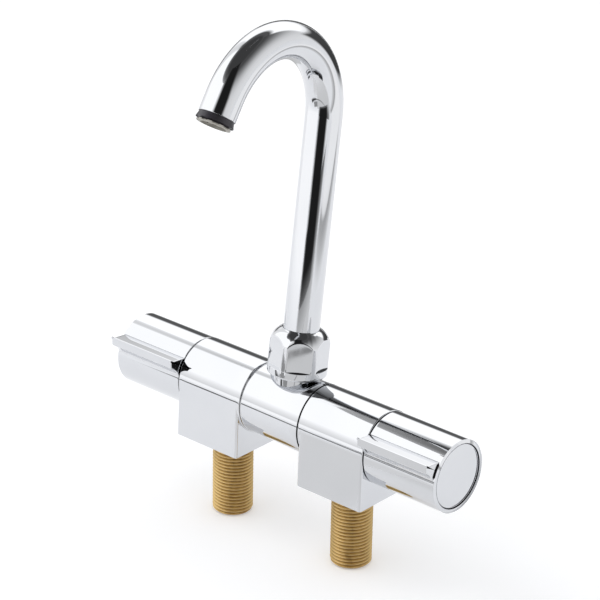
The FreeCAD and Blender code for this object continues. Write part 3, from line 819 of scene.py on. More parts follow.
def finishes() -> dict[Slot, bpy.types.Material]:
    """Every finish of the tap, one to each material slot of the record.

    Returns:
        The material of each slot.
    """
    kinds = {
        Slot.CHROME: Chrome(),
        Slot.BRASS: Brass(),
        Slot.BLACK_PLASTIC: Moulded("black_plastic", (0.030, 0.026, 0.036),
                                    (0.018, 0.016, 0.020), 0.30, 0.48),
        Slot.NYLON: Moulded("natural_nylon", (0.47, 0.45, 0.40), (0.38, 0.36, 0.32),
                            0.38, 0.55),
        Slot.RUBBER: Moulded("black_rubber", (0.030, 0.030, 0.030), (0.018, 0.018, 0.018),
                             0.55, 0.75, grain=900.0, grain_height=6e-6),
        Slot.STEEL: Moulded("stainless_steel", (0.62, 0.61, 0.60), (0.50, 0.50, 0.50),
                            0.22, 0.36, grain=2200.0, grain_height=2e-6, metal=1.0),
        Slot.CERAMIC: Moulded("white_ceramic", (0.86, 0.86, 0.84), (0.80, 0.80, 0.79),
                              0.12, 0.22, grain=2600.0, grain_height=1e-6),
    }
    return {slot: kind.material() for slot, kind in kinds.items()}


# Sub-assemblies

@dataclass(frozen=True)
class Block:
    """One cast block: a drum that runs down into a square foot, hollow along the bar.

    Each hole from below is a pair of its radius and its top.
    """

    side: Side
    foot_step: float = 0.9
    draft: float = 1.7
    end_draft: float = 0.8
    corner_r: float = 1.2
    journal_bore_r: float = 11.05
    journal_bore_end: float = 33.0
    seat_r: float = 5.0
    seat_end: float = 36.0
    chamber_r: float = 10.0
    chamber_end: float = 50.0
    thread_r: float = 10.5075
    mouth_r: float = 11.9
    mouth_depth: float = 1.6
    flange_spot_r: float = 12.7
    spot_face: tuple[float, float] = (10.8775, 0.3)
    shank_socket: tuple[float, float] = (9.53, 9.5)
    riser: tuple[float, float] = (4.5, 19.0)
    screw_thread: tuple[float, float] = (2.53, 16.65)
    screw_tip: tuple[float, float] = (1.78, 18.0)
    arc_columns: int = 110
    side_columns: int = 10
    base_columns: int = 26
    middle_rows: int = 14

    def outline(self, radius: Grid, inset: Grid) -> Grid:
        """Section across the bar: the drum over the top, straight drafted sides, a flat base.

        A side leans out by the draft angle d and touches a circle of radius R - inset, so it
        meets the drum of radius r at the angle d - acos((R - inset) / r) and the worktop at
        (R - inset + H sin d) / cos d from the middle.

        Args:
            radius: Drum radius of each row.
            inset: How far each row's sides stand back in the foot's rounded corners.

        Returns:
            Rows of columns of y and z.
        """
        draft, height = math.radians(self.draft), BAR.axis_height
        near = (BAR.body_r - inset)[:, None]
        radius = radius[:, None]
        start = draft - np.arccos(np.clip(near / radius, -1, 1))
        share = np.linspace(0, 1, self.arc_columns)[None]
        angle = start + (math.pi - 2 * start) * share
        over = np.stack([-radius * np.cos(angle), height + radius * np.sin(angle)], -1)
        half = (near + height * math.sin(draft)) / math.cos(draft)
        foot_back = np.concatenate([half, 0 * half], -1)[:, None]
        foot_front = foot_back * np.array([-1, 1])
        down = np.linspace(0, 1, self.side_columns)[None, 1:, None]
        along = np.linspace(0, 1, self.base_columns)[None, 1:, None]
        up = np.linspace(0, 1, self.side_columns)[None, 1:-1, None]
        back = over[:, -1:] + (foot_back - over[:, -1:]) * down
        base = foot_back + (foot_front - foot_back) * along
        front = foot_front + (over[:, :1] - foot_front) * up
        return np.concatenate([over, back, base, front], 1)

    def flared(self, rings: Grid, weight: Grid) -> Grid:
        """Lean the outer end face out below the drum's middle, in step with a row's weight.

        Args:
            rings: Rows of points, which are changed.
            weight: Share of the lean that each row takes.

        Returns:
            The rows.
        """
        top = BAR.axis_height + BAR.body_r * math.sin(math.radians(self.draft))
        drop = np.clip(top - rings[..., 2], 0, None) * math.tan(math.radians(self.end_draft))
        rings[..., 0] += drop * weight[:, None]
        return rings

    def rings(self) -> Grid:
        """Rows from the drum's inner end over the foot to the outer end, then back inside.

        Rows that are round about the bar give each column the angle at which the foot's
        first row sees it, so that flat end faces join them without a twist.

        Returns:
            Rings of the right-hand block.
        """
        foot_in = BAR.block_in + self.foot_step
        first = self.outline(np.array([BAR.body_r]), np.array([self.corner_r]))[0]
        seen = np.arctan2(first[:, 1] - BAR.axis_height, -first[:, 0])[None]
        lead = np.append(edge_rows(BAR.edge_r), self.foot_step)
        drum = round_bar((BAR.block_in + lead)[:, None],
                         (BAR.body_r - edge_inset(lead, BAR.edge_r))[:, None], seen)
        near = edge_rows(self.corner_r)
        middle = np.linspace(foot_in + self.corner_r, BAR.block_out - self.corner_r,
                             self.middle_rows)[1:-1]
        far = np.union1d(near, edge_rows(BAR.edge_r))[::-1]
        x = np.concatenate([foot_in + near, middle, BAR.block_out - far])
        from_end = BAR.block_out - x
        radius = BAR.body_r - edge_inset(from_end, BAR.edge_r)
        inset = np.maximum(edge_inset(from_end, self.corner_r),
                           edge_inset(x - foot_in, self.corner_r))
        section = self.outline(radius, inset)
        foot = np.concatenate([np.broadcast_to(x[:, None, None], section.shape[:2] + (1,)),
                               section], -1)
        weight = (x - foot_in) / (BAR.block_out - foot_in)
        end_x = BAR.block_out
        spot = round_bar(np.array([[end_x]]), np.array([[self.flange_spot_r]]), seen)
        inside = np.array([
            (end_x, self.flange_spot_r), (end_x, self.mouth_r),
            (end_x - self.mouth_depth, self.mouth_r), (end_x - self.mouth_depth, self.thread_r),
            (self.chamber_end, self.thread_r), (self.chamber_end, self.chamber_r),
            (self.seat_end, self.chamber_r), (self.seat_end, self.seat_r),
            (self.journal_bore_end, self.seat_r), (self.journal_bore_end, self.journal_bore_r),
            (BAR.block_in, self.journal_bore_r)])
        bore = round_bar(inside[:, :1], inside[:, 1:], seen)
        return np.concatenate([drum, self.flared(foot, weight),
                               self.flared(spot, np.ones(1)), bore])

    def sockets(self) -> list[Shell]:
        """Cuts from below: the shank's spot face, socket and riser, and the grub screw's hole.

        Returns:
            The two cuts of the right-hand block.
        """
        shank = stepped_hole(self.spot_face, self.shank_socket, self.riser)
        screw = stepped_hole(self.screw_thread, self.screw_tip)
        return [Shell(turned_upright(shank, BAR.shank_x)),
                Shell(turned_upright(screw, BAR.stop_screw_x, columns=32))]

    def piece(self) -> Piece:
        """The plated block on its side of the bar."""
        return Piece(f"{self.side.value}_plated_block", Body.BLOCKS, Slot.CHROME,
                     [f"{self.side.value}_block"], [mirrored(Shell(self.rings()), self.side)],
                     carved=[mirrored(cut, self.side) for cut in self.sockets()])


def mirrored(shell: Shell, side: Side) -> Shell:
    """A right-hand shell as it is, or its mirror image on the left."""
    return Shell(shell.rings * np.array([side.sign, 1, 1]))


@dataclass(frozen=True)
class Shank:
    """Threaded brass shank: a helical pipe thread on a hollow stud, and its spigot."""

    side: Side
    length: float = 42.0
    pitch: float = 1.814
    thread_depth: float = 1.05
    chamfer: float = 1.2
    bore_r: float = 7.0
    spigot_r: float = 9.5
    spigot_top: float = 9.0
    relief: float = 1.0
    runout: float = 0.4
    roundness: tuple[float, float] = (0.55, 0.45)
    spigot_chamfer: float = 0.4
    bore_chamfer: float = 0.5
    rows_per_pitch: int = 14
    columns: int = 84

    def rings(self) -> Grid:
        """Radius = crest - depth * groove(z / pitch - a / 2 pi), faded out at both ends.

        The groove is a triangle wave with its tops and bottoms smoothed by a cosine, as the
        thread's rounded crests and roots are. The run-out is a share of the pitch.

        Returns:
            Rings of the right-hand shank.
        """
        angle = full_turn(self.columns)
        rows = int(self.length / self.pitch * self.rows_per_pitch)
        height = np.linspace(-self.length, -self.relief, rows)[:, None]
        phase = (height / self.pitch - angle / (2 * math.pi)) % 1
        wave = np.abs(2 * phase - 1)
        smooth = 0.5 - 0.5 * np.cos(math.pi * wave)
        groove_depth = self.roundness[0] * smooth + self.roundness[1] * wave
        fade = np.clip((-self.relief - height) / (self.runout * self.pitch), 0, 1)
        from_tip = height + self.length
        crest = BAR.thread_r - np.clip(self.chamfer - from_tip, 0, None)
        radius = np.minimum(crest, BAR.thread_r - self.thread_depth * groove_depth * fade)
        thread = round_upright(radius, height, angle, BAR.shank_x)
        rest = np.array([(self.spigot_r, -self.relief),
                         (self.spigot_r, self.spigot_top - self.spigot_chamfer),
                         (self.spigot_r - self.spigot_chamfer, self.spigot_top),
                         (self.bore_r, self.spigot_top),
                         (self.bore_r, self.bore_chamfer - self.length),
                         (self.bore_r + self.bore_chamfer, -self.length)])
        inside = round_upright(rest[:, :1], rest[:, 1:], angle, BAR.shank_x)
        return np.concatenate([thread, inside])

    def piece(self) -> Piece:
        """The threaded shank on its side of the bar."""
        return Piece(f"{self.side.value}_threaded_shank", Body.BLOCKS, Slot.BRASS,
                     [f"{self.side.value}_shank"], [mirrored(Shell(self.rings()), self.side)],
                     crease=60.0)


@dataclass(frozen=True)
class CentreBody:
    """Swinging middle of the bar: a drum, two grooved journals and the neck under the nut."""

    journal_bore_r: float = 6.5
    ring_floor_r: float = 9.29
    stop_floor_r: float = 9.1
    ring_places: tuple[float, float] = (22.2, 29.8)
    ring_width: float = 2.3
    stop_width: float = 4.1
    journal_tip_r: float = 0.3
    neck_r: float = 11.2
    neck_foot: float = 12.0
    neck_top: float = 33.9
    socket_r: float = 8.05
    socket_floor: float = 20.5
    socket_end: float = 40.0
    waterway_r: float = 5.5
    drum_columns: int = 160
    post_columns: int = 96

    def half_profile(self) -> list[tuple[float, float, float]]:
        """Corners of the right-hand half: the drum's end, then the journal and its grooves.

        Returns:
            Place along the bar, radius and edge radius of each corner.
        """
        outer = BAR.journal_r
        corners = [(BAR.centre_end, BAR.body_r, BAR.edge_r), (BAR.centre_end, outer, 0.0)]
        first, last = self.ring_places
        for at, width, floor in ((first, self.ring_width, self.ring_floor_r),
                                 (BAR.stop_screw_x, self.stop_width, self.stop_floor_r),
                                 (last, self.ring_width, self.ring_floor_r)):
            corners += [(*corner, 0.0) for corner in groove(at, width, outer, floor)]
        return corners + [(BAR.journal_end, outer, self.journal_tip_r),
                          (BAR.journal_end, self.journal_bore_r, 0.0)]

    def piece(self) -> Piece:
        """The plated centre body: turned along the bar, with its neck joined and bored.

        Returns:
            The piece.
        """
        right = self.half_profile()
        left = [(-x, r, edge) for x, r, edge in reversed(right)]
        body = turned_bar(rounded(left + right), self.drum_columns)
        neck = self.post([(self.neck_r, self.neck_foot), (self.neck_r, self.neck_top)])
        socket = self.post([(self.waterway_r, 0.0), (self.waterway_r, self.socket_floor),
                            (self.socket_r, self.socket_floor), (self.socket_r, self.socket_end)])
        return Piece("plated_centre_body", Body.CENTRE, Slot.CHROME, ["centre_body"],
                     [Shell(body)], joined=[Shell(neck)], carved=[Shell(socket)])

    def post(self, side: Sequence[tuple[float, float]]) -> Grid:
        """A turned solid along the leaning spout axis, closed by points on that axis.

        Args:
            side: Radii and distances from the fold axis, from the lowest.

        Returns:
            Rings of the solid.
        """
        profile = [(0.0, side[0][1]), *side, (0.0, side[-1][1])]
        radius, height = np.array(profile, float).T[:, :, None]
        return upright_spout(radius, height, full_turn(self.post_columns), 0)


def upright_spout(radius: Grid, height: Grid, angle: Grid, turn: float) -> Grid:
    """Points round the straight part of the spout's axis.

    Args:
        radius: Distances from the spout's axis.
        height: Distances from the fold axis.
        angle: Angles from -Y towards +X, in radians.
        turn: Turn about the spout's axis, in degrees.

    Returns:
        Points in the row's frame.
    """
    radius, height, angle = np.broadcast_arrays(radius, height, angle)
    points = np.stack([radius * np.sin(angle), -radius * np.cos(angle), height], -1)
    return LINE.leaned(points, turn)


@dataclass(frozen=True)
class SwivelNut:
    """Hexagon nut with a round collar below and a domed shoulder above."""

    outer_r: float = 15.0
    flat: float = 13.5
    facet_turn: float = 42.0
    base: float = 19.25
    hex_base: float = 23.6
    shoulder: float = 36.0
    dome_middle: tuple[float, float] = (13.6, 39.2)
    dome_end: tuple[float, float] = (10.0, 42.6)
    top: float = 43.0
    edge_r: float = 1.2
    thread_r: float = 11.23
    ledge: float = 37.1
    bore_r: float = 9.1
    lead_wide: float = 0.4
    lead_deep: float = 0.3
    soft: float = 0.22
    dome_steps: int = 400

    def angles(self) -> Grid:
        """Columns crowded at the facets' edges, where cos a = flat / outer radius.

        Returns:
            Angles from the middle of the first facet, in radians.
        """
        edge = math.acos(self.flat / self.outer_r)
        near = np.radians([0, 0.35, 0.8, 1.5, 2.6])
        flat = np.concatenate([-edge + near, np.linspace(-edge, edge, 17)[3:-3],
                               edge - near[::-1]])
        corner = np.concatenate([edge + near[1:3], [SIXTH_TURN / 2],
                                 SIXTH_TURN - edge - near[2:0:-1]])
        facet = np.concatenate([flat, corner])
        return np.concatenate([facet + SIXTH_TURN * side for side in range(6)])

    def hexagon(self, angle: Grid) -> Grid:
        """Distance to the flats: flat / cos(a), with a measured from the nearest facet."""
        nearest = (angle + SIXTH_TURN / 2) % SIXTH_TURN - SIXTH_TURN / 2
        return self.flat / np.cos(nearest)

    def dome(self, share: Grid) -> tuple[Grid, Grid]:
        """Radius and height at a share of the dome's arc through its three points.

        The points are taken as complex numbers a, b and c, and the arc's centre is
        a + (b - a) (w - |w|2) / (2i Im w), with w = (c - a) / (b - a).

        Args:
            share: Shares of the arc, 0 at the shoulder and 1 at the dome's end.

        Returns:
            Radii and heights.
        """
        a, b, c = (complex(*p) for p in ((self.outer_r, self.shoulder), self.dome_middle,
                                         self.dome_end))
        w = (c - a) / (b - a)
        centre = (b - a) * (w - abs(w)**2) / (2j * w.imag) + a
        start, end = np.angle(a - centre), np.angle(c - centre)
        turn = start + (end - start) * share
        reach = abs(a - centre)
        return centre.real + reach * np.cos(turn), centre.imag + reach * np.sin(turn)

    def softer(self, first: Grid, second: Grid) -> Grid:
        """The lesser radius, lowered by (k - difference)2 / 4k where the two differ by under k."""
        near = np.clip(self.soft - np.abs(first - second), 0, None)
        return np.minimum(first, second) - near**2 / (4 * self.soft)

    def rings(self) -> Grid:
        """Rows up the collar, the facets, the arcs where the dome cuts them, then down inside.

        A facet's rows end at the share of the dome at which the dome is as narrow as the
        facet there, so the arc over each flat is a line of the grid.

        Returns:
            Rings of the leaning nut.
        """
        angle = self.angles()[None]
        flat = self.softer(self.hexagon(angle), np.full_like(angle, self.outer_r))
        share = np.linspace(0, 1, self.dome_steps)
        dome_r, _ = self.dome(share)
        meet = np.interp(-flat, -dome_r, share)
        foot = rounded([(0, self.base, 0), (self.outer_r, self.base, self.edge_r),
                        (self.outer_r, self.hex_base, 0)], steps=8)[1:-1]
        collar = upright_spout(foot[:, :1], foot[:, 1:], angle, self.facet_turn)
        # Heights over the facets' foot, and how far the surface may stand back there
        low, step = np.array([(-0.25, 0.0), (-0.1, 0.02), (-0.03, 0.08), (0.0, 0.16),
                              (0.0, self.outer_r), (0.05, self.outer_r), (0.2, self.outer_r),
                              (0.5, self.outer_r)]).T[:, :, None]
        drop = np.minimum(step, self.outer_r - flat)
        ledge = upright_spout(self.outer_r - drop, self.hex_base + low, angle, self.facet_turn)
        _, meet_z = self.dome(meet)
        # Shares of the way up a facet, closer together under its arc
        rise = np.concatenate([np.linspace(0.04, 0.86, 8), [0.92, 0.96, 0.98, 0.99]])[:, None]
        facet_z = self.hex_base + rise * (meet_z - self.hex_base)
        over = self.dome_radius_at(facet_z)
        facet = upright_spout(self.softer(flat, over), facet_z, angle, self.facet_turn)
        # Shares of the dome that is left over the arc
        past = np.concatenate([[0, 0.015, 0.035, 0.07], np.linspace(0.12, 1, 12)])[:, None]
        cap_r, cap_z = self.dome(meet + (1 - meet) * past)
        crown = upright_spout(self.softer(flat, cap_r), cap_z, angle, self.facet_turn)
        inner = np.array([(self.bore_r + self.lead_wide, self.top),
                          (self.bore_r, self.top - self.lead_deep),
                          (self.bore_r, self.ledge), (self.thread_r, self.ledge),
                          (self.thread_r, self.base)])
        inside = upright_spout(inner[:, :1], inner[:, 1:], angle, self.facet_turn)
        return np.concatenate([collar, ledge, facet, crown, inside])

    def dome_radius_at(self, height: Grid) -> Grid:
        """Radius of the round part at a height: straight up to the shoulder, then the dome.

        Args:
            height: Distances from the fold axis.

        Returns:
            Radii.
        """
        share = np.linspace(0, 1, self.dome_steps)
        dome_r, dome_z = self.dome(share)
        return np.interp(height, dome_z, dome_r, left=self.outer_r)

    def piece(self) -> Piece:
        """The plated nut."""
        return Piece("plated_swivel_nut", Body.CENTRE, Slot.CHROME, ["swivel_nut"],
                     [Shell(self.rings())], crease=32.0)


@dataclass(frozen=True)
class Spout:
    """Bent tube with its collar and the grooved spigot that turns in the centre body."""

    outer_r: float = 9.0
    inner_r: float = 7.8
    collar_r: float = 10.8
    collar_base: float = 34.0
    collar_top: float = 36.0
    spigot_r: float = 8.0
    spigot_bore_r: float = 5.5
    spigot_end: float = 21.5
    lip_r: float = 0.3
    ring_floor_r: float = 6.25
    ring_places: tuple[float, float] = (24.5, 29.5)
    ring_width: float = 2.3
    run_rows: int = 16
    bend_rows: int = 121
    columns: int = 112

    def rings(self) -> Grid:
        """A profile of radius against distance, carried along the spout's line and back inside.

        Returns:
            Rings of the spout.
        """
        run = np.linspace(self.collar_top, LINE.bend_start, self.run_rows)
        bend = np.linspace(LINE.bend_start, LINE.bend_end, self.bend_rows)[1:]
        lip = LINE.length - edge_rows(self.lip_r, steps=4)[::-1]
        outside = np.concatenate([run, bend, lip])
        inset = edge_inset(LINE.length - outside, self.lip_r)
        out = np.stack([outside, self.outer_r - inset], -1)
        back = np.concatenate([[LINE.length], bend[::-1], run[::-1]])
        inner = np.stack([back, np.full_like(back, self.inner_r)], -1)
        lower = [(self.collar_top, self.spigot_bore_r), (self.spigot_end, self.spigot_bore_r),
                 (self.spigot_end, self.spigot_r)]
        for at in self.ring_places:
            lower += groove(at, self.ring_width, self.spigot_r, self.ring_floor_r)
        lower += [(self.collar_base, self.spigot_r), (self.collar_base, self.collar_r),
                  (self.collar_top, self.collar_r)]
        profile = np.concatenate([out, inner, np.array(lower)])
        return LINE.ring(profile[:, :1], profile[:, 1:], full_turn(self.columns))

    def piece(self) -> Piece:
        """The plated tube."""
        return Piece("plated_spout", Body.SPOUT, Slot.CHROME, ["spout_tube"],
                     [Shell(self.rings())])


@dataclass(frozen=True)
class OutletRing:
    """Black outlet ring: a soft-edged band outside the tube and a skirt inside it."""

    outer_r: float = 9.2
    bore_r: float = 7.2
    skirt_r: float = 7.75
    skirt: float = 5.0
    length: float = 3.6
    upper_edge_r: float = 0.35
    lower_edge_r: float = 0.7
    skirt_edge_r: float = 0.3
    columns: int = 128

    def rings(self) -> Grid:
        """One profile of distance and radius, turned round the end of the spout's line.

        Returns:
            Rings of the outlet ring.
        """
        profile = rounded([(0.0, self.outer_r, self.upper_edge_r),
                           (self.length, self.outer_r, self.lower_edge_r),
                           (self.length, self.bore_r, 0.0), (-self.skirt, self.bore_r, 0.0),
                           (-self.skirt, self.skirt_r, self.skirt_edge_r),
                           (0.0, self.skirt_r, 0.0)])
        return LINE.ring(LINE.length + profile[:, :1], profile[:, 1:], full_turn(self.columns))

    def piece(self) -> Piece:
        """The moulded ring."""
        return Piece("moulded_outlet_ring", Body.SPOUT, Slot.BLACK_PLASTIC, ["aerator_ring"],
                     [Shell(self.rings())])


@dataclass(frozen=True)
class OutletInsert:
    """Pale flow straightener: a ribbed cup in the ring and a slotted rim just below it."""

    cup_r: float = 7.0
    bore_r: float = 6.0
    cup: float = 6.0
    seat: float = 3.65
    rim_r: float = 8.3
    rim: float = 0.9
    edge_r: float = 0.25
    slots: int = 9
    slot_width: float = 3.4
    slot_height: float = 0.5
    slot_floor_r: float = 7.4
    inner_edge_r: float = 0.2
    wall_turn: float = 0.006
    wall_rise: float = 0.02
    rib: float = 0.8
    rib_setbacks: tuple[float, float] = (0.3, 0.2)
    floor_columns: int = 8
    columns_per_slot: int = 18

    def rings(self) -> Grid:
        """Rows over the rim, its upper rows sunk to the slots' floor in a slot's columns.

        Two columns lie close together at each wall of a slot, so that it stands upright.

        Returns:
            Rings of the insert.
        """
        pitch = 2 * math.pi / self.slots
        half = self.slot_width / 2 / self.rim_r
        inside = np.linspace(-half, half, self.floor_columns)
        land = np.linspace(half + self.wall_turn, pitch - half - self.wall_turn,
                           self.columns_per_slot - self.floor_columns)
        one = np.concatenate([inside, land])
        angle = np.concatenate([one + pitch * slot for slot in range(self.slots)])[None]
        in_slot = np.tile(one <= half, self.slots)[None]
        top = self.seat + self.slot_height
        end = self.seat + self.rim
        rows = [(self.seat, self.cup_r, 0), (self.seat, self.slot_floor_r, 0),
                (self.seat, self.rim_r, 1), (top - self.wall_rise, self.rim_r, 1),
                (top, self.rim_r, 0)]
        lip = rounded([(top + self.wall_rise, self.rim_r, 0), (end, self.rim_r, self.edge_r),
                       (end, self.bore_r, self.inner_edge_r),
                       (self.seat - self.cup, self.bore_r, 0),
                       (self.seat - self.cup, self.cup_r, self.inner_edge_r)], steps=5)
        along, radius, sunk = np.concatenate([rows, np.pad(lip, ((0, 0), (0, 1)))]).T[:, :, None]
        radius = np.where((sunk > 0) & in_slot, self.slot_floor_r, radius)
        return LINE.ring(LINE.length + along, radius, angle)

    def ribs(self) -> list[Shell]:
        """Three bars across the cup, sixty degrees apart.

        A bar's corners lie at its reach both ways along its direction, and half its width to
        either side of it.

        Returns:
            The bars.
        """
        bars = []
        reach, half = (self.cup_r + self.bore_r) / 2, self.rib / 2
        start, stop = self.rib_setbacks
        along = np.array([[self.seat - self.cup + start], [self.seat - stop]])
        for turn in np.radians([0, 60, 120]):
            points = np.array([(reach * np.cos(end) + side * np.sin(turn),
                                reach * np.sin(end) - side * np.cos(turn))
                               for end, side in ((turn, half), (turn + math.pi, half),
                                                 (turn + math.pi, -half), (turn, -half))])
            radius = np.linalg.norm(points, axis=1)[None]
            angle = np.arctan2(points[:, 1], points[:, 0])[None]
            outer = LINE.ring(LINE.length + along, radius, angle)
            middle = outer.mean(axis=1, keepdims=True) + 0 * outer
            bars.append(Shell(np.concatenate([middle[:1], outer, middle[1:]])))
        return bars

    def piece(self) -> Piece:
        """The moulded insert."""
        return Piece("moulded_outlet_insert", Body.SPOUT, Slot.NYLON, ["aerator_insert"],
                     [Shell(self.rings()), *self.ribs()])


@dataclass(frozen=True)
class Handle:
    """Drum handle with its lever fin, hollow from both ends, with a hub and a screw web."""

    side: Side
    radius: float = 18.5
    rim_r: float = 0.3
    top_root: float = 42.0
    under_root: float = 12.0
    tip_top: tuple[float, float] = (28.3, 33.2)
    tip_under: tuple[float, float] = (25.45, 22.6)
    hollow: float = 0.7
    tip_r: float = 1.0
    end_setback: float = 1.05
    fin_edge_r: float = 0.45
    cavity_r: float = 15.5
    hub_r: float = 9.5
    hub_flat: float = 6.55
    hub_in: float = 72.6
    web_in: float = 82.5
    web_out: float = 85.5
    screw_r: float = 2.2
    outer_cavity_r: float = 14.0
    cap_seat_r: float = 16.25
    cap_in: float = 101.95
    seat_edge_r: float = 0.12
    end_margin: float = 1.0
    tip_steps: int = 8
    middle_rows: int = 16
    drum_columns: int = 150

    def fin_outline(self) -> Grid:
        """Fin section from its lower root round the tip to its upper root, as x = -y, y = z.

        The underside bows in by 4 h t (1 - t) at a share t of its length, and both corners of
        the tip are rounded.

        Returns:
            Points about the fold axis, in rows of two.
        """
        def polar(radius: float, angle: float) -> tuple[float, float]:
            """Flat point of a radius and an angle."""
            turn = math.radians(angle)
            return radius * math.cos(turn), radius * math.sin(turn)

        under_root = polar(self.radius, self.under_root)
        under_tip, top_tip = polar(*self.tip_under), polar(*self.tip_top)
        top_root = polar(self.radius, self.top_root)
        tip = rounded([(*under_root, 0), (*under_tip, self.tip_r), (*top_tip, self.tip_r),
                       (*top_root, 0)], self.tip_steps)
        turned = self.tip_steps + 2
        root, first, last, top = tip[:1], tip[1:turned], tip[turned:-1], tip[-1:]
        share = np.linspace(0, 1, 13)[1:-1, None]
        chord = first[:1] - root
        normal = np.array([[-chord[0, 1], chord[0, 0]]]) / np.linalg.norm(chord)
        under = root + chord * share + normal * 4 * self.hollow * share * (1 - share)
        face = first[-1:] + (last[:1] - first[-1:]) * np.linspace(0, 1, 5)[1:-1, None]
        flank = last[-1:] + (top - last[-1:]) * np.linspace(0, 1, 10)[1:-1, None]
        return np.concatenate([root, under, first, face, last, flank, top])

    def section(self, drum_inset: Grid, fin_inset: Grid) -> Grid:
        """Rows of the outline, the drum and the fin each drawn in by its own inset.

        A fin point moves in along its outline's normal and never closer to the axis than the
        drum.

        Args:
            drum_inset: Inset of the drum in each row.
            fin_inset: Inset of the fin in each row.

        Returns:
            Rows of columns of radius and angle.
        """
        fin = self.fin_outline()
        ahead = np.gradient(fin, axis=0)
        normal = np.stack([ahead[:, 1], -ahead[:, 0]], -1)
        normal /= np.linalg.norm(normal, axis=1, keepdims=True)
        moved = fin[None] - normal[None] * fin_inset[:, None, None]
        drum_r = self.radius - drum_inset[:, None]
        fin_r = np.maximum(np.linalg.norm(moved, axis=-1), drum_r)
        fin_a = np.arctan2(moved[..., 1], moved[..., 0])
        root, top, over = self.drum_angles()
        fin_a[:, 0], fin_a[:, -1] = root, top
        fin_r[:, 0], fin_r[:, -1] = drum_r[:, 0], drum_r[:, 0]
        drum_a = np.broadcast_to(over, (len(drum_inset), len(over)))
        radius = np.concatenate([fin_r, np.broadcast_to(drum_r, drum_a.shape)], 1)
        return np.stack([radius, np.concatenate([fin_a, drum_a], 1)], -1)

    def drum_angles(self) -> tuple[float, float, Grid]:
        """Angles of the fin's lower and upper root, and of the drum's columns between them."""
        root, top = math.radians(self.under_root), math.radians(self.top_root)
        return root, top, np.linspace(top, root + 2 * math.pi, self.drum_columns)[1:-1]

    def round_angles(self) -> Grid:
        """Column angles of rows that are round: the fin's columns share the arc at its root.

        Returns:
            One row of angles.
        """
        steps = np.linalg.norm(np.diff(self.fin_outline(), axis=0), axis=1)
        share = np.concatenate([[0], np.cumsum(steps)])
        root, top, over = self.drum_angles()
        return np.concatenate([root + (top - root) * share / share[-1], over])[None]

    def hexagon(self, angle: Grid) -> Grid:
        """Distance to the hub's flats: flat / cos(a) from the nearest one, a corner to -Y."""
        return self.hub_flat / np.cos(angle % SIXTH_TURN - SIXTH_TURN / 2)

    def rings(self) -> Grid:
        """Rows from the inner end over the fin to the rim, then back through both cavities.

        Returns:
            Rings of the right-hand handle.
        """
        fin_out = BAR.handle_out - self.end_setback
        near = edge_rows(BAR.edge_r)
        middle = np.linspace(BAR.handle_in + self.end_margin, fin_out - self.end_margin,
                             self.middle_rows)
        far = fin_out - edge_rows(self.fin_edge_r)[::-1]
        x = np.concatenate([BAR.handle_in + near, middle, far])
        from_start = x - BAR.handle_in
        drum_inset = edge_inset(from_start, BAR.edge_r)
        fin_inset = np.maximum(drum_inset, edge_inset(fin_out - x, self.fin_edge_r))
        section = self.section(drum_inset, fin_inset)
        body = round_bar(x[:, None], section[..., 0], section[..., 1])
        angle = self.round_angles()
        out = BAR.handle_out
        rim = rounded([(fin_out, self.radius, 0), (out, self.radius, self.rim_r),
                       (out, self.cap_seat_r, self.seat_edge_r),
                       (self.cap_in, self.cap_seat_r, 0),
                       (self.cap_in, self.outer_cavity_r, 0),
                       (self.web_out, self.outer_cavity_r, 0), (self.web_out, self.screw_r, 0),
                       (self.web_in, self.screw_r, 0)], steps=8)
        outer = round_bar(rim[:, :1], rim[:, 1:], angle)
        hexagon = self.hexagon(angle)
        hub = round_bar(np.array([[self.web_in], [self.hub_in]]), hexagon, angle)
        cavity = np.array([(self.hub_in, self.hub_r), (self.web_in, self.hub_r),
                           (self.web_in, self.cavity_r), (BAR.handle_in, self.cavity_r)])
        inner = round_bar(cavity[:, :1], cavity[:, 1:], angle)
        return np.concatenate([body, outer, hub, inner])

    def piece(self) -> Piece:
        """The plated handle on its side of the bar."""
        return Piece(f"{self.side.value}_plated_handle", self.side.handle, Slot.CHROME,
                     [f"{self.side.value}_handle"], [mirrored(Shell(self.rings()), self.side)])


@dataclass(frozen=True)
class EndCap:
    """Flat disc that closes a handle, with a short skirt that grips its bore."""

    side: Side
    radius: float = 16.05
    cap_in: float = 101.95
    thickness: float = 2.3
    skirt_r: float = 13.97
    skirt_wall: float = 1.0
    skirt_length: float = 5.0
    skirt_edge_r: float = 0.2
    back_edge_r: float = 0.15
    face_edge_r: float = 0.3
    face_rings: tuple[float, float] = (12.0, 6.0)

    def rings(self) -> Grid:
        """Corners of the disc and its skirt, turned round the bar.

        Returns:
            Rings of the right-hand cap.
        """
        face, back = self.cap_in + self.thickness, self.cap_in
        end = back - self.skirt_length
        bore = self.skirt_r - self.skirt_wall
        return turned_bar(rounded([
            (back, 0.0, 0), (back, bore, 0), (end, bore, 0),
            (end, self.skirt_r, self.skirt_edge_r), (back, self.skirt_r, 0),
            (back, self.radius, self.back_edge_r), (face, self.radius, self.face_edge_r),
            *((face, radius, 0) for radius in self.face_rings), (face, 0.0, 0)]))

    def piece(self) -> Piece:
        """The plated cap on its side of the bar."""
        return Piece(f"{self.side.value}_plated_cap", self.side.handle, Slot.CHROME,
                     [f"{self.side.value}_end_cap"], [mirrored(Shell(self.rings()), self.side)])


# Studio

def bowl(*elevations: float, reach: float = 1.6, middle: float = 0.06) -> list[tuple]:
    """Distances and heights, in metres, of points at some elevations on a round bowl."""
    return [(reach * math.cos(math.radians(degrees)),
             middle + reach * math.sin(math.radians(degrees))) for degrees in elevations]


def eased(share: Grid) -> Grid:
    """Smooth rise from 0 to 1 over a share from 0 to 1: t2 (3 - 2t)."""
    share = np.clip(share, 0, 1)
    return share * share * (3 - 2 * share)


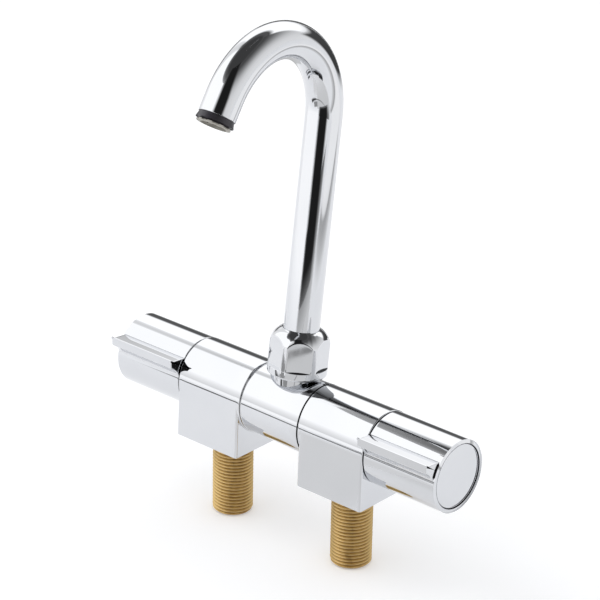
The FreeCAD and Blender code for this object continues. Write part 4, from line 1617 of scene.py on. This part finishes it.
def mirrored_only(name: str, points: Grid, strength: Grid, cover: Grid,
                  material: bpy.types.Material) -> bpy.types.Object:
    """A glowing grid that only bright surfaces mirror; it throws no light and no shadow.

    Args:
        name: Name of the object.
        points: Rows of points in metres.
        strength: Glow of each point.
        cover: How much of what lies behind each point it hides.
        material: The cards' common material.

    Returns:
        The object.
    """
    rows, columns = points.shape[:2]
    row, column = np.meshgrid(np.arange(rows - 1), np.arange(columns - 1), indexing="ij")
    first = (row * columns + column).ravel()
    faces = np.stack([first, first + 1, first + columns + 1, first + columns], -1)
    mesh = bpy.data.meshes.new(name)
    mesh.from_pydata(points.reshape(-1, 3), [], faces)
    for key, value in (("strength", strength), ("cover", cover)):
        mesh.attributes.new(key, "FLOAT", "POINT").data.foreach_set(
            "value", value.astype(np.float32).ravel())
    mesh.materials.append(material)
    card = new_object(name, mesh)
    card.visible_camera = False
    card.visible_diffuse = False
    card.visible_shadow = False
    card.visible_transmission = False
    return card


@dataclass(frozen=True)
class Card:
    """A card: a profile of distance and height swept between two azimuths.

    Azimuths are counted from -Y towards +X. Each profile point has its own strength and
    cover, and the sides fade out.
    """

    name: str
    start: float
    end: float
    profile: Sequence[tuple[float, float]]
    strength: Sequence[float]
    cover: Sequence[float]
    side_fade: float = 6.0
    rows: int = 48

    def build(self, material: bpy.types.Material) -> bpy.types.Object:
        """Sweep the profile round the upright axis.

        Args:
            material: The cards' common material.

        Returns:
            The card.
        """
        knots = np.linspace(0, 1, len(self.profile))
        share = np.linspace(0, 1, self.rows)
        distance, height = (np.interp(share, knots, column)
                            for column in np.array(self.profile).T)
        columns = int(abs(self.end - self.start)) + 1
        azimuth = np.linspace(self.start, self.end, columns)
        turn = np.radians(azimuth)[None]
        points = np.stack([distance[:, None] * np.sin(turn), -distance[:, None] * np.cos(turn),
                           height[:, None] + 0 * turn], -1)
        edge = eased(np.minimum(azimuth - self.start, self.end - azimuth) / self.side_fade)
        strength = np.interp(share, knots, self.strength)[:, None] + 0 * turn
        cover = np.interp(share, knots, self.cover)[:, None] * edge[None]
        return mirrored_only(self.name, points, strength, cover, material)


@dataclass(frozen=True)
class Strip:
    """A straight strip on the floor from one place to another.

    Across it, each offset to the right has its own strength and cover. The offsets shrink
    towards the end by the taper, and both ends fade out.
    """

    name: str
    start: tuple[float, float]
    end: tuple[float, float]
    across: Sequence[float]
    strength: Sequence[float]
    cover: Sequence[float]
    height: float
    taper: float = 1.0
    end_fade: float = 0.03
    columns: int = 48

    def build(self, material: bpy.types.Material) -> bpy.types.Object:
        """Lay the strip: place(s, t) = start + s (end - start) + t right, with s along it.

        Args:
            material: The cards' common material.

        Returns:
            The strip.
        """
        along = np.linspace(0, 1, self.columns)[None]
        run = np.array(self.end) - np.array(self.start)
        length = float(np.linalg.norm(run))
        right = np.array([run[1], -run[0]]) / length
        offset = np.array(self.across)[:, None] * (1 + (self.taper - 1) * along)
        x = self.start[0] + run[0] * along + right[0] * offset
        y = self.start[1] + run[1] * along + right[1] * offset
        edge = eased(np.minimum(along, 1 - along) * length / self.end_fade)
        points = np.stack([x, y, np.full_like(x, self.height)], -1)
        strength = np.array(self.strength)[:, None] + 0 * along
        return mirrored_only(self.name, points, strength,
                             np.array(self.cover)[:, None] * edge, material)


@dataclass(frozen=True)
class Studio:
    """Pale floor, soft light, and cards round the tap that its plating mirrors."""

    floor_z: float = -0.0425
    floor_r: float = 5.0
    floor_tone: Colour = (0.80, 0.80, 0.81)
    floor_rough: float = 0.9
    floor_glow: float = 0.28
    light_tone: tuple[float, float, float, float] = (0.98, 0.99, 1.0, 1.0)
    light_strength: float = 0.86
    lamp_size: float = 1.4
    lamp_power: float = 9.0
    lamp_place: tuple[float, float, float] = (-1.1, -0.7, 1.9)
    card_gap: float = 0.0006

    def white_paths(self, tree: bpy.types.NodeTree) -> bpy.types.NodeSocket:
        """Socket that is 1 for camera, glossy and transmission rays.

        Args:
            tree: Node tree of the floor's material or of the world.

        Returns:
            The socket.
        """
        path = tree.nodes.new("ShaderNodeLightPath")
        total = path.outputs["Is Camera Ray"]
        for name in ("Is Glossy Ray", "Is Transmission Ray"):
            larger = tree.nodes.new("ShaderNodeMath")
            larger.operation = "MAXIMUM"
            tree.links.new(total, larger.inputs[0])
            tree.links.new(path.outputs[name], larger.inputs[1])
            total = larger.outputs[0]
        return total

    def floor(self) -> None:
        """A wide pale disc under the shanks, lifted to white, that keeps the shadow."""
        work = bmesh.new()
        bmesh.ops.create_circle(work, cap_ends=True, segments=96, radius=self.floor_r)
        bmesh.ops.translate(work, verts=work.verts, vec=(0, 0, self.floor_z))
        mesh = bpy.data.meshes.new("studio_floor")
        work.to_mesh(mesh)
        work.free()
        floor = new_object("studio_floor", mesh)
        sheet = Sheet("studio_floor")
        sheet.fix(roughness=self.floor_rough, base_color=(*self.floor_tone, 1.0))
        glow = sheet.node("ShaderNodeEmission")
        glow.inputs["Strength"].default_value = self.floor_glow
        both = sheet.node("ShaderNodeAddShader")
        sheet.join(sheet.shader, "BSDF", both, 0)
        sheet.join(glow, "Emission", both, 1)
        choice = sheet.node("ShaderNodeMixShader")
        tree = sheet.material.node_tree
        tree.links.new(self.white_paths(tree), choice.inputs["Fac"])
        sheet.join(sheet.shader, "BSDF", choice, 1)
        sheet.join(both, "Shader", choice, 2)
        sheet.join(choice, "Shader", sheet.output, "Surface")
        mesh.materials.append(sheet.material)

    def world(self) -> None:
        """White air for the camera, for metal and for glass, and a plain soft light."""
        world = bpy.data.worlds.new("studio_air")
        bpy.context.scene.world = world
        world.use_nodes = True
        nodes, links = world.node_tree.nodes, world.node_tree.links
        nodes.clear()
        seen = nodes.new("ShaderNodeBackground")
        seen.inputs["Color"].default_value = (1, 1, 1, 1)
        light = nodes.new("ShaderNodeBackground")
        light.inputs["Color"].default_value = self.light_tone
        light.inputs["Strength"].default_value = self.light_strength
        choice = nodes.new("ShaderNodeMixShader")
        links.new(self.white_paths(world.node_tree), choice.inputs["Fac"])
        links.new(light.outputs[0], choice.inputs[1])
        links.new(seen.outputs[0], choice.inputs[2])
        output = nodes.new("ShaderNodeOutputWorld")
        links.new(choice.outputs[0], output.inputs["Surface"])

    def card_material(self) -> bpy.types.Material:
        """Glow by a point's strength, clear where its cover is 0.

        Returns:
            The cards' common material.
        """
        sheet = Sheet("studio_card")
        strength = sheet.node("ShaderNodeAttribute", attribute_name="strength")
        cover = sheet.node("ShaderNodeAttribute", attribute_name="cover")
        glow = sheet.node("ShaderNodeEmission")
        sheet.join(strength, "Fac", glow, "Strength")
        clear = sheet.node("ShaderNodeBsdfTransparent")
        choice = sheet.node("ShaderNodeMixShader")
        sheet.join(cover, "Fac", choice, "Fac")
        sheet.join(clear, "BSDF", choice, 1)
        sheet.join(glow, "Emission", choice, 2)
        sheet.join(choice, "Shader", sheet.output, "Surface")
        return sheet.material

    def layer(self, number: int) -> float:
        """Height of a layer of cards that lie on the floor."""
        return self.floor_z + number * self.card_gap

    def cards(self) -> list[Card]:
        """Soft boxes, floor sheets, painted floor shade, a dark screen at the camera, ceilings, a
        wall and flags.

        Returns:
            The swept cards.
        """
        low, mid, high = self.layer(1), self.layer(2), self.layer(3)
        far, near = {"reach": 3.2}, {"reach": 3.0, "middle": 0.05}
        return [
            Card("studio_back_soft_box", 162, 250, bowl(14, 22, 50, 58, **far),
                 (1.5, 1.5, 1.5, 1.5), (0, 1, 1, 0)),
            Card("studio_left_soft_box", -102, 6, bowl(-1, 16, 66, 74, **far),
                 (1.28, 1.45, 1.45, 1.45), (0, 1, 1, 0), side_fade=8.0),
            Card("studio_left_sheet", -84, 8, ((0.42, low), (0.7, low), (3.1, low)),
                 (1.36, 1.36, 1.36), (0, 1, 1), side_fade=8.0),
            Card("studio_camera_screen", 4, 70, ((0.30, 0.02), (0.30, 0.04), (0.30, 0.95)),
                 (0.016, 0.016, 0.016), (0.6, 1, 1), side_fade=14.0),
            # Painted shadow: floor cards dimmer than the floor, where the camera side shades it
            Card("studio_painted_shade_by_camera", -8, 78,
                 ((0.05, mid), (0.12, mid), (0.20, mid), (0.30, mid), (0.40, mid), (0.50, mid)),
                 (0.90, 0.84, 0.82, 0.80, 0.78, 0.72), (0, 0.8, 1, 1, 1, 0), side_fade=8.0),
            Card("studio_far_painted_shade_by_camera", 4, 78,
                 ((0.40, high), (0.46, high), (0.55, high), (0.65, high), (0.90, high)),
                 (0.78, 0.72, 0.50, 0.34, 0.20), (0, 1, 1, 1, 1), side_fade=10.0),
            # Painted shade: a floor card a little dimmer than the floor round the tap's foot
            Card("studio_painted_shade_by_tap", -36, 4,
                 ((0.04, high), (0.09, high), (0.17, high), (0.25, high)),
                 (0.91, 0.91, 0.91, 0.91), (0, 1, 1, 0), side_fade=8.0),
            Card("studio_left_ceiling", -112, 20, bowl(45, 49, 52, 55, 58, 62, 89.9, **near),
                 (0.06,) * 7, (0, 0.12, 0.35, 0.62, 0.85, 1, 1), side_fade=6.0),
            Card("studio_ceiling", -180, 180, bowl(57, 66, 89.9, reach=2.9, middle=0.05),
                 (0.25, 0.06, 0.06), (0, 1, 1), side_fade=0.01),
            Card("studio_back_ceiling", 148, 262, bowl(51, 57, 70, **near),
                 (0.3, 0.09, 0.06), (0, 1, 1), side_fade=10.0),
            Card("studio_right_wall", 54, 170,
                 bowl(0, 8, 16, 24, 32, 40, 48, 56, 64, reach=2.8, middle=0.16),
                 (0.98, 0.95, 0.90, 0.78, 0.58, 0.36, 0.20, 0.10, 0.06),
                 (0, 0.6, 1, 1, 1, 1, 1, 1, 1), side_fade=8.0),
            Card("studio_back_flag", 156, 206, ((0.75, high), (1.0, high), (1.6, high),
                                                (1.6, 0.45), (1.6, 0.62)),
                 (0.06, 0.06, 0.06, 0.08, 0.10), (0, 1, 1, 1, 0), side_fade=8.0),
            Card("studio_back_left_flag", 200, 234, ((0.16, high), (0.8, high), (1.6, high),
                                                     (1.6, 0.42), (1.6, 0.58)),
                 (0.35, 0.14, 0.12, 0.12, 0.14), (0.4, 1, 1, 1, 0), side_fade=6.0),
            Card("studio_left_flag", 230, 254, bowl(-8, 0, 8, 14),
                 (0.2, 0.18, 0.18, 0.2), (0, 1, 1, 0), side_fade=6.0),
        ]

    def strips(self) -> list[Strip]:
        """The floor sheet's dark front edge, its grey right edge and a dull patch before it.

        Returns:
            The straight strips.
        """
        return [
            Strip("studio_front_edge", (-0.270, -0.256), (-0.045, -0.271),
                  (-0.050, -0.030, -0.014, 0.0, 0.014, 0.030, 0.050),
                  (0.07,) * 7, (0, 0.7, 1, 1, 1, 0.6, 0), self.layer(5),
                  taper=0.34, end_fade=0.012),
            Strip("studio_front_edge_end", (-0.060, -0.271), (0.34, -0.294),
                  (-0.014, -0.006, 0.006, 0.014), (0.32,) * 4, (0, 1, 1, 0),
                  self.layer(5), taper=0.55, end_fade=0.012),
            Strip("studio_right_edge", (0.652, -0.120), (0.224, 0.556),
                  (-0.14, -0.08, -0.03, -0.004, 0.012, 0.05, 1.2),
                  (0.90, 0.66, 0.54, 0.48, 1.05, 1.15, 1.15), (0, 0.8, 1, 1, 1, 1, 1),
                  self.layer(4), end_fade=0.10),
            Strip("studio_dull_patch", (-0.19, -0.36), (-0.01, -0.36),
                  (-0.07, -0.05, 0.05, 0.07), (0.40, 0.36, 0.36, 0.40), (0, 1, 1, 0),
                  self.layer(6), end_fade=0.02),
        ]

    def lamp(self) -> None:
        """One large soft lamp, above and to the left, that gives the shadow its direction."""
        data = bpy.data.lights.new("studio_lamp", "AREA")
        data.shape = "DISK"
        data.size = self.lamp_size
        data.energy = self.lamp_power
        lamp = new_object("studio_lamp", data)
        lamp.location = self.lamp_place
        lamp.rotation_euler = (Vector((0, 0, 0)) - lamp.location).to_track_quat(
            "-Z", "Y").to_euler()
        lamp.visible_glossy = False
        lamp.visible_camera = False

    def build(self) -> None:
        """Set up the floor, the air, the lamp, the cards and the view settings."""
        self.floor()
        self.world()
        self.lamp()
        material = self.card_material()
        for card in (*self.cards(), *self.strips()):
            card.build(material)
        bpy.context.scene.view_settings.view_transform = "Standard"


@dataclass(frozen=True)
class Viewpoint:
    """The photograph's camera: its place, the point it aims at, its roll and its lens."""

    place: tuple[float, float, float] = (0.758245, -0.868274, 0.600732)
    aim: tuple[float, float, float] = (-0.019400, 0.026016, 0.072621)
    roll: float = 1.1238
    lens: float = 155.564
    sensor: float = 36.0
    far: float = 50.0

    def build(self) -> None:
        """Add the camera and make it the scene's own."""
        data = bpy.data.cameras.new("photograph_view")
        data.lens = self.lens
        data.sensor_width = self.sensor
        data.clip_end = self.far
        camera = new_object("photograph_view", data)
        ahead = (Vector(self.aim) - Vector(self.place)).normalized()
        level = ahead.cross(Vector((0, 0, 1))).normalized()
        up = level.cross(ahead)
        roll = math.radians(self.roll)
        right = level * math.cos(roll) + up * math.sin(roll)
        up = right.cross(ahead)
        camera.matrix_world = Matrix((
            (right.x, up.x, -ahead.x, self.place[0]), (right.y, up.y, -ahead.y, self.place[1]),
            (right.z, up.z, -ahead.z, self.place[2]), (0, 0, 0, 1)))
        bpy.context.scene.camera = camera


def dress_frame(frame: dict, materials: dict[Slot, bpy.types.Material]) -> None:
    """Give every CAD node that stays the procedural finish of its material slot.

    Args:
        frame: The loaded frame.
        materials: Finish of each slot.
    """
    by_node = {part["node"]: part["material_slot"] for part in frame["record"]["subparts"]}
    for name, node in frame["nodes"].items():
        finish = materials[Slot(by_node[name])]
        for place in node.material_slots:
            place.material = finish
        if not node.material_slots:
            node.data.materials.append(finish)


def main() -> None:
    """Load the frame, build each piece in order and set up the studio."""
    logging.basicConfig(level=logging.INFO, format="%(name)s %(message)s")
    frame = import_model()
    Viewpoint().build()
    materials = finishes()
    dress_frame(frame, materials)
    builders: list[SubAssembly] = [CentreBody(), SwivelNut(), Spout(), OutletRing(),
                                   OutletInsert()]
    for side in Side:
        builders += [Block(side), Shank(side), Handle(side), EndCap(side)]
    for builder in builders:
        piece = builder.piece()
        piece.build(materials[piece.slot])
    Studio().build()


if __name__ == "__main__":
    main()
